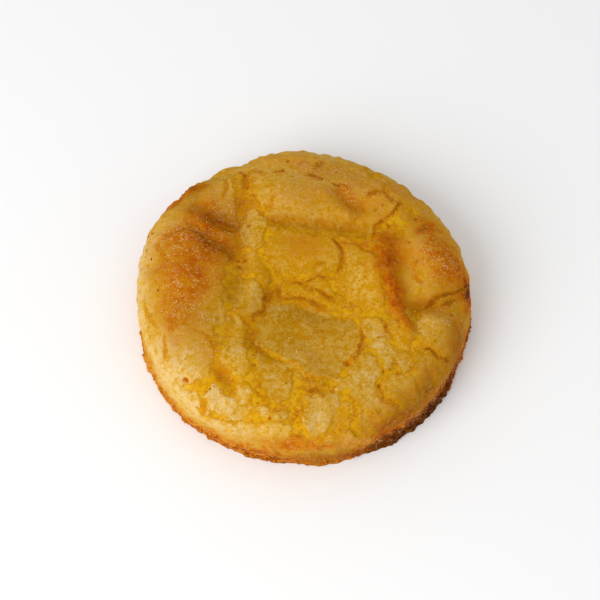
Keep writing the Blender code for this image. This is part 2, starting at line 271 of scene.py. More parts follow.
# Cracks, from the widest kind to the faintest
RIPS = (
    ((18.6, 14.9), (17.7, 14.1), (16.6, 13), (16.2, 11)),
    ((41, 1), (36, -1.5), (33, -3.5), (30.5, -4.8), (29, -6), (27.5, -7.6), (25.5, -8.5)),
    ((-24.4, 12), (-23.1, 10.9), (-21.9, 9), (-20.6, 8.2), (-19.9, 6.6)),
    ((25.2, -18.5), (27.4, -18), (28.8, -18.9), (32.1, -19.1), (33.2, -20.5)),
)  # fmt: skip
SEAMS = (
    ((-20.2, 9.4), (-19, 8.6), (-17.6, 7.2), (-16.6, 5.6), (-16, 3.8)),
    ((-7, -3.3), (-8.2, -4.8), (-8.7, -6.2), (-9.3, -8.2), (-11.2, -9.6), (-10.7, -11.4)),
    ((12.4, -11.7), (12.7, -15.3), (12.5, -17.6), (11.5, -19.8), (9.6, -21.9)),
    ((-1, -27), (1.5, -27.7), (3.5, -28.2), (4.9, -27.5)),
    ((17, -25), (16.6, -26.4), (17.2, -28.4), (16.9, -29.3), (18.2, -29.7), (19.9, -29.8)),
    ((17.8, -11.2), (17.5, -13.2), (18.2, -14.5)),
    ((4.3, 32.7), (3.8, 30.5), (2.4, 29.1)),
    ((-15, 31), (-14.2, 29.4), (-13.2, 27.4), (-12.6, 25), (-11.8, 22.7)),
    ((5.6, 11), (7.6, 9.4), (8.7, 7.4), (8.8, 4.6), (8, 2.4), (6.4, 0.4)),
    ((6.4, 0.2), (5, -0.4), (3.4, -0.2), (2, -0.6), (0.4, -1.5), (-1.8, -1.3), (-4.4, -1.6)),
    ((0.2, -1.8), (1.6, -3), (3.6, -3.8), (5.6, -5.2), (8.3, -7.4)),
    (
        (-6.8, -1), (-5.8, -2.2), (-5, -3.8), (-4.2, -5), (-1.4, -5.4), (1.6, -5.8), (4.6, -7.2),
        (7.4, -8.6),
    ),
    ((5.2, 25), (7.9, 24), (9.3, 24.4), (12.4, 22.9)),
    ((22.3, 20.5), (21.6, 18.6), (20.2, 16), (17.7, 14.1)),
    ((-28, 25.6), (-25.6, 25.6), (-23.4, 25.2), (-21, 25.6)),
    ((-22.8, 14.9), (-20.4, 14.6), (-17.9, 12.8), (-15.6, 12.6)),
    ((-31.6, 9.4), (-28.4, 10.5), (-25.4, 12.2), (-24, 14.8)),
)  # fmt: skip
LINES = (
    ((38, -2), (35, -4.5), (32, -6.2), (30, -7.2)),
    ((14.6, 20.3), (15.4, 21.3), (16.6, 22.4), (18.2, 22), (19.9, 20), (21.2, 18.4)),
    ((-12.8, 27.4), (-11.5, 27.8), (-10, 27.3), (-8.6, 26.4)),
    ((-7, 27.2), (-5.6, 27), (-4.3, 27.5)),
    ((25.6, 11.2), (26.8, 11.9), (28, 12.8), (29.3, 13.5)),
    ((0.2, 26.9), (2.9, 26.6), (5.2, 25)),
    ((-3, -38.6), (-1, -38.2), (1, -38.6)),
    ((27.9, -28.1), (29.3, -27), (31.6, -26), (34.9, -25.9)),
)  # fmt: skip
HAIRLINES = (
    ((-32, 8.8), (-31.8, 6.6), (-30.4, 5), (-30.4, 2.2), (-32, -0.3)),
    ((-36.2, -2.5), (-36, -6), (-35.5, -8.3), (-34, -9.6), (-32.8, -11.5), (-31.6, -14)),
    ((-30.4, -13.5), (-30.2, -16), (-29.9, -18.5), (-29.2, -21)),
    ((12, 15), (14, 17), (13.5, 20)),
    ((-18, 27), (-17.5, 24), (-18.5, 20)),
    ((-9, 16.8), (-7, 17.8), (-6, 20)),
    ((26, -3), (24.5, 1), (25.5, 5)),
    ((-24, -14), (-21, -15.5), (-19, -18)),
    ((13.5, -31), (15, -32.2), (17, -31.6)),
    ((2, 1), (3.4, 3), (5.8, 3.6)),
    ((2, -12), (4, -13), (5.4, -12.4)),
    ((11.6, 3.4), (13.4, 2.2), (14, 0)),
)  # fmt: skip
# Depth, half-width, reach of the bare crumb beside it, height of the curled edges, darkness of the shade
# painted in it
CRACK_KINDS = (
    (RIPS, (0.4, 0.2, 0.8, 0.05, 1)),
    (SEAMS, (0.06, 0.1, 0.7, 0, 1)),
    (LINES, (0.05, 0.14, 0.9, 0, 0.95)),
    (HAIRLINES, (0.05, 0.12, 0.8, 0, 0.55)),
)
NIBBLING = 0.45  # how much the nibbled edges widen and narrow a crack
END_WIDTH, END_DEPTH, END_BARE = 0.4, 0.35, 0.5  # what is left of each at a crack's ends
CURL_OUT, CURL_WIDTH = 0.6, 0.5  # where beside a crack its edge is curled up
PIT_DEPTH, PIT_SCORCH = 0.8, 0.6
OPENING_DEPTH = 0.15
EDGE_DEPTH = 0.03  # the groove where a plate's edge meets the crumb
EDGE_WIDTH = 0.28
EDGE_OUT = 0.15  # how far out of the plate it lies
RIFT_REACH = 1.0  # the distance to a crack is told to the materials up to here
COVER_REACH = 2.0  # and the distance to a plate's edge up to here

# Small holes: place and radius
PITS = (
    ((9.7, -21.8), 0.8), ((-14.6, 4.6), 0.5), ((-13, 4.6), 0.45), ((-14, 3), 0.6), ((19.6, 13.2), 0.6),
    ((16.3, 11.3), 0.6), ((17.4, 7.2), 0.4), ((24, 9), 0.35), ((-16, 12.6), 0.45), ((-10.8, -22.3), 0.4),
    ((0.8, -25), 0.35), ((16.4, -26.4), 0.5), ((20, -23), 0.35), ((17, -22.5), 0.35),
    ((-6.8, -34.2), 0.5), ((-12.6, 13.4), 0.5), ((-13, 27.3), 0.7), ((-12, 23), 0.8), ((8.3, 28.7), 0.35),
    ((-3.3, 31), 0.6), ((-25.7, -24.8), 0.8), ((33, -8.5), 0.5), ((26, 15.5), 0.5),
)  # fmt: skip
# Dark grains baked into the crust: place and radius
SPECKS = (
    ((-33.2, -4.7), 0.42), ((-25, -1.8), 0.22), ((-32, 4), 0.25), ((-29, -26.5), 0.28), ((-36, -14), 0.3),
    ((-20, -27.2), 0.25), ((-3.5, -26.5), 0.35), ((-19, -27), 0.18), ((12.4, -1.6), 0.2),
    ((-5.5, -9.5), 0.15), ((3.6, -14.5), 0.15), ((-27, -12), 0.2), ((22, -11), 0.2), ((6, 19), 0.18),
    ((-4, 16), 0.2),
)  # fmt: skip

# Hollows: the ground falls in them, and their shade is painted on the crumb as ochre
SHADED_HOLLOWS = (
    (-7, -4, 2.8, 2, 0.9, -30), (0, -6.6, 6.5, 1.6, 0.4, -14), (-10.2, -17.2, 1.6, 4.5, 0.9, 24),
    (-14, 18.5, 2.4, 5, 0.8, 5), (-14.8, 10.5, 1.8, 4, 0.7), (6, 14.4, 14, 1.6, 0.45, -3),
    (23.5, 5.5, 3, 6, 0.7, 15), (26.6, -7.3, 3.6, 2.4, 1.2, 10), (20.5, 9.6, 3, 2.4, 0.9, -20),
    (30, -8, 4, 1.4, 0.6, 20), (-20.5, 6, 3, 2, 0.45, -35), (-19.4, -20.5, 1.4, 3, 0.4, 30),
    (-9, -26.5, 1.2, 3, 0.5), (-1.5, -34, 1.2, 3, 0.3), (9, -25, 3, 1.2, 0.2, -40),
    (14, -34.5, 1.6, 3, 0.5), (-13, -10, 1.6, 3, 0.4), (-12, 25, 1.8, 3, 0.5, 10),
    (-10.5, -10, 3, 5, 0.5), (-16.8, -24.4, 1.3, 3.2, 1, 30), (-22, 13, 6, 3, 0.4, -28),
    (-18, 11, 3, 1.8, 0.4, -30), (26, -31, 10, 3.2, 0.3, 47), (-20, 16.6, 5.5, 5, 0.5, -30),
    (-10.5, 1, 3, 5, 0.25), (1, -3.6, 7, 2, 0.05), (-18.5, 15.6, 4, 2, 0.5, -28), (6, -34, 14, 5, 0.35),
    (-12, 20, 3, 8, 0.4),
)  # fmt: skip
DEEP_FALL = 0.45  # how far the ground falls in a hollow of strength 1
# Places in the shade of the humps and folds around them
SHADED_PATCHES = (
    (-18.3, 15.8, 4.2, 2.6, 0.9, -25), (-9.2, -17.6, 1.5, 4.4, 0.7, 28), (-10.4, -11.5, 1.5, 4.5, 0.4),
    (1, -9.4, 8.5, 2.2, 0.65, -12), (26, -7.3, 4, 2.6, 0.9, 10), (-20.6, 6, 5, 4, 0.6, -20),
    (-23, -15.5, 4, 6, 0.2), (35, -15.5, 3, 6, 0.9), (25.5, -30.5, 9, 3.6, 1, 42),
    (21, -34.5, 5, 3, 0.5, 20), (-6.6, -4, 2.6, 2, 0.6), (-14, 9, 2.4, 3.4, 0.6), (-14.5, 20, 2, 4, 0.4),
    (-16, -3, 2, 6, 0.3), (-22, 20, 6, 4, 0.5, -30), (-33, -3, 5, 6, 0.3), (-27, -13, 5, 5, 0.3),
    (-24, -7, 4, 4, 0.15), (20, -20, 2.5, 2.5, 0.25), (-14.5, 16, 2, 4, 0.25), (-18, -5, 3, 7, 0.3),
    (40, -16, 3, 8, 0.9), (29, -9.6, 3, 2, 0.65), (-25, 26, 7, 4, 0.6, 35), (5, -46, 12, 2.5, 0.6, 5),
    (0, 15.5, 12, 2.5, 0.3, -3), (20.3, 9.5, 3, 2.5, 0.65), (16, 11, 4, 2, 0.4), (-7.4, 0, 1.6, 4, 0.4),
    (10, -46, 14, 2.5, 0.5, 12),
)  # fmt: skip
# Bare yellow crumb
CRUMB_PATCHES = (
    (20.5, 15.5, 3.4, 4.2, 1.1), (14, 3, 3.5, 6, 0.45), (8, -6.5, 6, 2.2, 0.8, -15),
    (0, -3.6, 6, 2, 0.55), (-9.5, 1.5, 3, 3.5, 0.6), (-13.5, -13, 2, 5, 0.6), (-12.5, -23, 2, 3, 0.8, 20),
    (-23, -26.5, 4, 1.8, 0.9), (-22, -31.5, 2, 2, 0.7), (8.5, -33, 1.8, 2.6, 0.8),
    (-1.2, -32, 1.6, 4, 0.8), (2.5, -26.3, 2.4, 1.2, 0.7, -15), (21.5, -12, 1.8, 4, 0.7, 15),
    (18.5, -24.5, 2, 3, 0.5), (-36, -6, 1.6, 5, 0.7, 10), (-33.5, -12, 1.5, 4, 0.5, 30),
    (32, -6.2, 5, 1.4, 0.8, 28), (-11.5, 21, 1.4, 6, 0.7, -10), (15.5, -14, 4, 4, 0.35),
    (-10.2, -33.5, 2, 1.5, 0.7), (-37, -18.5, 1.4, 1.6, 0.6), (5, 14, 9, 1.6, 0.4, -3),
)  # fmt: skip
BARE_BY_CRACKS, BARE_IN_PATCHES = 0.75, 0.6
# Toasted crust
TOAST_PATCHES = (
    (-25, 2.5, 8, 11, 0.33, 6), (-27.5, -11, 5.5, 7, 0.2), (-26, 25.5, 4, 1.6, 0.5, -10),
    (0, 9.6, 8, 2, 0.12), (0, 6, 8, 4, 0.12), (18.7, 2.2, 2.9, 7.4, 0.52, 4),
    (20, -6, 1.9, 5.4, 0.44, 14), (22.4, -12.4, 1.3, 3.6, 0.2, 16), (30.5, 4, 7, 6, 0.23, 20),
    (18, 23, 13, 8, 0.11, -30), (33, -4, 7, 14, 0.13, 10), (-20, 14, 5, 2.4, 0.26, -28),
    (-20, 9, 5, 2.6, 0.42, -32), (10, 20, 4.4, 2.8, 0.14, -30), (28, 13, 2.5, 0.8, 0.35, 35),
    (-17, -25, 1.6, 3.6, 0.14, 28), (15.4, 8, 3, 2.4, 0.2, -20), (-21, 19, 7, 6, 0.16, -30),
    (1, -41.5, 10, 2.4, 0.22, 6), (-2, -40.5, 7, 2, 0.13, -4), (16, -40, 8, 2.6, 0.12, 20),
    (-21.5, -32, 1.4, 1.4, 0.12), (-38, -18, 1.6, 2.5, 0.2), (27, -26, 13, 6, 0.17, 47),
    (15, -36, 14, 5, 0.09, 15), (-10, -39, 5, 2.5, 0.12, -10), (41, -20, 4, 3, 0.3, 60),
    (0, -41, 6, 2, 0.09), (22, -35, 5, 3, 0.24, 30), (40, -18, 8, 3, 0.25, 70),
    (35.5, -14, 8, 3.5, 0.08, 76), (32, 13, 4, 7, 0.06, 30), (1, 30, 11, 5, 0.14),
    (27, 26, 6, 4, 0.12, -40), (28, 13, 3, 3.5, 0.22), (21, 8, 2.5, 3, 0.15), (-11, -8, 2.5, 3, 0.08),
    (2, -25, 5, 3, 0.06), (-20, -38, 12, 2.6, 0.08, -30), (3, -20, 7, 4, 0.05, -20),
    (-20, -19, 3, 5, 0.1), (26, -7, 5, 1.8, 0.16, -12), (10, 9, 3, 3, 0.12), (32, -31.5, 12, 3, 0.38, 47),
    (-34, 24, 8, 4, 0.34, 55), (-24, 7, 7, 3, 0.14, -15), (-20, 14.8, 4, 1.2, 0.15, -28),
    (-32, 25, 9, 4, 0.34, 50), (2, 20, 12, 5, 0.13), (16, 26, 10, 5, 0.04, -35),
    (13, 16.5, 5, 3, 0.08, -10), (-10, 34, 8, 3, 0.08, 10),
)  # fmt: skip
TOAST_LIMIT = 0.5  # no patch is toasted more than this
BURNT_END = (39, -1.5, 3.4, 3.8, 0.9)  # where the crumb meets the right rim
# Pale, creamy crust
PALE_PATCHES = (
    (-34, -21, 5, 10, 0.85, -35), (-13, -36.5, 6, 2, 0.5), (-24, -31, 14, 7, 1, -42),
    (-38.5, 0, 3.5, 14, 0.9), (-33, 9, 3, 6, 0.65), (-19, 22.5, 4, 3.5, 0.35), (15, -14, 4, 5, 0.35),
    (21, -25, 2.5, 2.5, 0.6), (-20, -27, 3, 2, 0.4), (30, 10, 3, 3, 0.3), (10, 30, 8, 3, 0.15, -20),
    (32, 6, 5, 8, 0.15), (-13, -19.5, 2, 3.5, 0.3), (-11, 12, 2.5, 4, 0.3, 10), (28, -11, 4, 3, 0.25),
    (-4, 19, 6, 4, 0.1), (-15, -30, 5, 4, 0.4), (-14.5, -18, 2.5, 7, 0.3, 10), (-16, -9, 2, 3, 0.4),
    (6, 23, 5, 3, 0.45, -20), (3, 35, 9, 3, 0.3), (-3, 27, 5, 1.6, 0.4), (14, 23, 2.5, 2.5, 0.4),
    (27, 9, 5, 3, 0.3, -30), (26, 1, 3, 6, 0.35), (12, -1, 3, 4, 0.35), (13, -27, 5, 6, 0.35),
    (3, -33, 3.5, 3.5, 0.4), (-6, -26, 2.5, 2.5, 0.3), (-2.5, -23.2, 3.5, 0.9, 0.6, -38),
    (15, -38, 6, 3, 0.3, 10), (8, -25, 2, 2, 0.4), (-30, -17, 3, 4, 0.3), (32, -6, 3, 2, 0.3, 20),
    (22, 17, 2, 2, 0.3), (21, -22, 6, 5, 0.15), (-26.6, -23, 3, 1.6, 0.6, -50), (-40, -27, 4, 5, 0.6),
    (0, 6, 8, 5, -0.35), (1, -14, 9, 7, -0.25),
)  # fmt: skip
CREAM_LEAST = 0.12
CREAM_OF_CRUST = 0.62  # what whole crust has beyond the least
# Toasting of the side near the base: direction in degrees, half-width in degrees, strength
RIM_TOAST = (
    (-47, 17, 1.35), (-66, 14, 0.28), (-8, 12, 0.45), (-100, 22, 0.4), (-132, 22, 0.32), (-165, 14, 0.08),
    (150, 30, 0.4), (95, 30, 0.2), (46, 26, 0.28),
)  # fmt: skip
RIM_TOAST_LEAST = 0.07  # and its strength in the directions between
RIM_START, RIM_FULL = 42.8, 48.2  # how far from the middle it starts and is full
BAND_TOP, BAND_FULL = 6.4, 2.2  # how far above the foot its crumbly band starts and is full
# Where sugar grains lie thick
SUGAR_PATCHES = (
    (-25, 8, 5, 3.5, 0.7, -10), (-19.5, 12, 3.5, 1.5, 1, -10), (-17, 17.5, 1.8, 2.4, 0.9),
    (30, 3.5, 4.5, 4, 0.5), (-24, -7, 5, 6, 0.4), (0, -14, 10, 7, 0.05), (-5, 19, 9, 5, 0.2),
    (-30, 12, 5, 4, 0.4), (10, -38.5, 3, 2, 0.5), (28, -11, 6, 2, 0.4, 20), (-22, -18, 5, 4, 0.3),
)  # fmt: skip
# Where toasted crust has a pale frosting of fine sugar
FROSTED_PATCHES = (
    (-27, 0, 8, 14, 0.45, 5), (27, -33, 14, 4.5, 0.95, 45), (4, -41.5, 18, 3, 0.5, 5),
    (38, -15, 9, 5, 0.6, 70), (-20, 16, 8, 6, 0.4, -30), (29, 4, 7, 8, 0.3, 10), (6, 27, 22, 7, 0.7, -8),
)  # fmt: skip

# Random patterns over the map, as sums of waves: wavelength, height, number of the random seed
PATTERNS = {
    "stray to the right": ((4.5, 0.55, 50), (1.7, 0.3, 51), (0.8, 0.15, 52)),
    "stray to the back": ((4.5, 0.55, 60), (1.7, 0.3, 61), (0.8, 0.15, 62)),
    "uneven crust": ((7, 0.4, 10), (3.2, 0.11, 11)),
    "fine crust": ((1.6, 0.025, 30), (0.9, 0.01, 31)),
    "nibbled edges": ((2.3, 0.34, 54), (1.2, 0.4, 51), (0.8, 0.26, 52)),
    "broken edges": ((3.4, 1, 57),),
    "crack widths": ((3.6, 0.55, 53),),
    "scraps": ((5, 0.5, 56),),
    "ragged": ((1.6, 0.6, 21), (0.8, 0.4, 22)),
    "blotches": ((6, 0.6, 23), (2.6, 0.4, 24)),
    "crumbs": ((1.1, 0.02, 41),),
    "crazed areas": ((9, 1, 43),),
    "flaky rim": ((2.6, 0.26, 47), (1.3, 0.18, 48)),
    "ruffled foot": ((2.4, 0.3, 44), (1.1, 0.26, 45)),
    "dented base": ((5, 0.16, 70), (1.8, 0.12, 71)),
    "mottled base": ((3.2, 0.2, 73), (1.3, 0.14, 74)),
    "sugared areas": ((2.2, 1, 81),),
}
# Cells round scattered points of the map: spacing, number of the random seed
CELLS = {
    "crumbs": (1.5, 40),
    "pillows": (2.6, 49),
    "lumps": (2.1, 46),
    "crazing": (3.1, 42),
    "scraps": (2.3, 55),
    "pores of the base": (3.4, 72),
}
CELL_MIDDLE = 0.55  # the usual distance to the nearest point, in units of their spacing
SEED = 41
LATTICE = 256  # a random pattern repeats after this many of its cells

# Heights of the fine relief
CRUMB_HEIGHT = 0.035
PILLOW_HEIGHT = 0.08
LUMP_HEIGHT = 0.04
CRAZING_DEPTH = 0.06
CRAZING_WIDTH = 0.12  # in units of the cells' spacing
BASE_PORE_DEPTH = 0.5
BASE_PORE_WIDTH = 0.22

GRID_CELLS = 288
PATH_STEPS = 6
END_SHARE = 0.22  # the share of a path's length over which it fades in or out
PROFILE_STEPS = 160
PATH_REACH = 7.0  # a path shapes nothing further off than this
FAR = 99.0
FADE_AT_FOOT = 10.0
HOLLOW_ROUNDS = 70
BASE_RINGS = 30
OUTER_RING, INNER_RING = 0.985, 0.02  # shares of the foot's radius
BASE_THINNING = 4  # points of the foot for each point of the base's rings

# Scattered pieces: how many, the range of their sizes, how high their middles lie, in sizes
SUGAR_GRAINS = 480
SUGAR_SIZES = (0.045, 0.11)
SUGAR_RISE = 0.1
SUGAR_ELSEWHERE = 0.002  # how thick the grains lie off their patches, where 1 is thickest
CRUMB_COUNT = 600
CRUMBS_AT_FOOT, CRUMBS_IN_OPENINGS = 0.8, 0.12
CRUMB_SIZES = (0.14, 0.42)
CRUMB_RISE = 0.2
SPECK_RISE = -0.7
LOWEST_RISE = 1.3  # no middle lies nearer to the table than this
SCATTER_MARGIN = 0.6  # and none nearer to the base's edge than this, in millimetres
STRETCH = (0.7, 1.3)
JAGGEDNESS = 0.18


# ---------------------------------------------------------------- numbers over the map
def profile():
    """Radius, height and distance walked from the middle of the top, down to the foot."""
    t = np.linspace(0, 1, PROFILE_STEPS)
    turn = t * np.pi / 2
    power = 2 / SHOULDER_ROUNDING
    shoulder = SHOULDER_RADIUS + (BULGE_RADIUS - SHOULDER_RADIUS) * np.sin(turn) ** power
    side = BULGE_RADIUS + (FOOT_RADIUS - BULGE_RADIUS) * t**2
    radius = np.concatenate([SHOULDER_RADIUS * t, shoulder, side])
    top = SHOULDER_HEIGHT + CROWN * (1 - t**2)
    fall = BULGE_HEIGHT + (SHOULDER_HEIGHT - BULGE_HEIGHT) * np.cos(turn).clip(0) ** power
    height = np.concatenate([top, fall, BULGE_HEIGHT * (1 - t)])
    steps = np.hypot(np.diff(radius), np.diff(height))
    return radius, height, np.concatenate([[0], np.cumsum(steps)])


RADIUS, HEIGHT, WALKED = profile()
MAP_RADIUS = WALKED[-1]


def plain_surface(p, q):
    """The points of the rounded body, before any relief."""
    walked = np.hypot(p, q)
    angle = np.arctan2(q, p)
    swell = sum(high * np.cos(count * angle + np.radians(phase)) for count, high, phase in OUTLINE_WAVES)
    radius = np.interp(walked, WALKED, RADIUS) * (1 + swell / BULGE_RADIUS)
    return np.stack([radius * np.cos(angle), radius * np.sin(angle), np.interp(walked, WALKED, HEIGHT)], -1)


def smoothstep(low, high, value):
    t = ((value - low) / (high - low)).clip(0, 1)
    return t * t * (3 - 2 * t)


def bell(offset):
    return np.exp(-(offset**2))


def at_least(low, share):
    """From low where the share is 0 up to 1 where it is 1."""
    return low + (1 - low) * share


def lattice_place(p, q, length):
    """Column and row of the lattice cell that each place is in, and its place within it, 0 to 1."""
    x = p / length + LATTICE / 2
    y = q / length + LATTICE / 2
    column = np.floor(x).astype(int)
    row = np.floor(y).astype(int)
    return column, row, x - column, y - row


def waves(p, q, length, number):
    """Smooth random heights between -1 and 1 that change over about the given length."""
    lattice = np.random.default_rng(SEED + number).uniform(-1, 1, (LATTICE, LATTICE))
    column, row, u, v = lattice_place(p, q, length)
    u = u * u * (3 - 2 * u)
    v = v * v * (3 - 2 * v)

    def value(down, right):
        return lattice[(row + down) % LATTICE, (column + right) % LATTICE]

    low = value(0, 0) * (1 - u) + value(0, 1) * u
    high = value(1, 0) * (1 - u) + value(1, 1) * u
    return low * (1 - v) + high * v


def pattern(p, q, name):
    return sum(high * waves(p, q, length, number) for length, high, number in PATTERNS[name])


def cells(p, q, name):
    """Distances to the nearest and second nearest of scattered points, in units of their spacing."""
    length, number = CELLS[name]
    jitter = np.random.default_rng(SEED + number).uniform(0, 1, (LATTICE, LATTICE, 2))
    column, row, u, v = lattice_place(p, q, length)
    first = np.full(p.shape, FAR)
    second = np.full(p.shape, FAR)
    for down in (-1, 0, 1):
        for right in (-1, 0, 1):
            at = jitter[(row + down) % LATTICE, (column + right) % LATTICE]
            distance = np.hypot(right + at[..., 0] - u, down + at[..., 1] - v)
            second = np.minimum(second, np.maximum(first, distance))
            first = np.minimum(first, distance)
    return first, second


def smooth_path(points):
    """Points of the Catmull-Rom curve through the given ones."""
    points = np.array(points, float)
    ends = np.concatenate([[2 * points[0] - points[1]], points, [2 * points[-1] - points[-2]]])
    t = np.linspace(0, 1, PATH_STEPS, endpoint=False)[:, None]
    curve = []
    for a, b, c, d in zip(ends, ends[1:], ends[2:], ends[3:]):
        bend = t**2 * (a - 2.5 * b + 2 * c - 0.5 * d)
        twist = t**3 * (1.5 * b - 0.5 * a - 1.5 * c + 0.5 * d)
        curve.append(b + 0.5 * t * (c - a) + bend + twist)
    return np.concatenate(curve + [points[-1:]])


def near_curve(p, q, curve):
    """Which places are in the box round a curve, or no further than PATH_REACH from it."""
    low = curve.min(axis=0) - PATH_REACH
    high = curve.max(axis=0) + PATH_REACH
    return (p > low[0]) & (p < high[0]) & (q > low[1]) & (q < high[1])


def beside_path(p, q, points):
    """Distance to a path, positive on its left, and how far along it the nearest point is, 0 to 1."""
    path = smooth_path(points)
    near = near_curve(p, q, path)
    nearest = np.full(near.sum(), np.inf)
    side = np.ones(nearest.shape)
    place = np.zeros(nearest.shape)
    for number, (start, end) in enumerate(zip(path, path[1:])):
        run = end - start
        x = p[near] - start[0]
        y = q[near] - start[1]
        t = ((x * run[0] + y * run[1]) / (run @ run)).clip(0, 1)
        distance = np.hypot(x - t * run[0], y - t * run[1])
        closer = distance < nearest
        nearest = np.where(closer, distance, nearest)
        side = np.where(closer, np.sign(run[0] * y - run[1] * x), side)
        place = np.where(closer, (number + t) / (len(path) - 1), place)
    beside = np.full(p.shape, FAR)
    beside[near] = nearest * side
    along = np.zeros(p.shape)
    along[near] = place
    return beside, along


def inside_outline(p, q, points):
    """Distance to a smooth closed outline, positive inside it."""
    points = np.array(points, float)
    closed = np.concatenate([points[-2:], points, points[:2]])
    curve = smooth_path(closed)[PATH_STEPS * 2 : -PATH_STEPS - 1]
    near = near_curve(p, q, curve)
    nearest = np.full(near.sum(), np.inf)
    within = np.zeros(nearest.shape, bool)
    for start, end in zip(curve, np.roll(curve, -1, axis=0)):
        run = end - start
        x = p[near] - start[0]
        y = q[near] - start[1]
        t = ((x * run[0] + y * run[1]) / (run @ run)).clip(0, 1)
        nearest = np.minimum(nearest, np.hypot(x - t * run[0], y - t * run[1]))
        crosses = (y < 0) != (y < run[1])
        slant = run[0] / run[1] if run[1] else 0
        within ^= crosses & (x < y * slant)
    inside = np.full(p.shape, -FAR)
    inside[near] = np.where(within, nearest, -nearest)
    return inside


def tapered(place):
    """A share along a path that is 0 at both ends and 1 between them."""
    return smoothstep(0, END_SHARE, np.minimum(place, 1 - place))


def patches(p, q, made):
    """The sum of soft swellings, or of patches."""
    total = 0
    for at_p, at_q, long, wide, strength, *turn in made:
        angle = np.radians(turn[0] if turn else 0)
        x = p - at_p
        y = q - at_q
        along = (x * np.cos(angle) + y * np.sin(angle)) / long
        across = (y * np.cos(angle) - x * np.sin(angle)) / wide
        total = total + strength * np.exp(-(along**2) - across**2)
    return total


def fold(p, q, sizes, path):
    depth, proud_half_width, low_half_width, lip, lip_width = sizes
    distance, place = beside_path(p, q, path)
    hollow = bell(distance / np.where(distance > 0, proud_half_width, low_half_width))
    raised = np.where(distance > 0, lip * bell((distance - proud_half_width) / lip_width), 0)
    return (raised * (1 - hollow) - depth * hollow) * tapered(place)


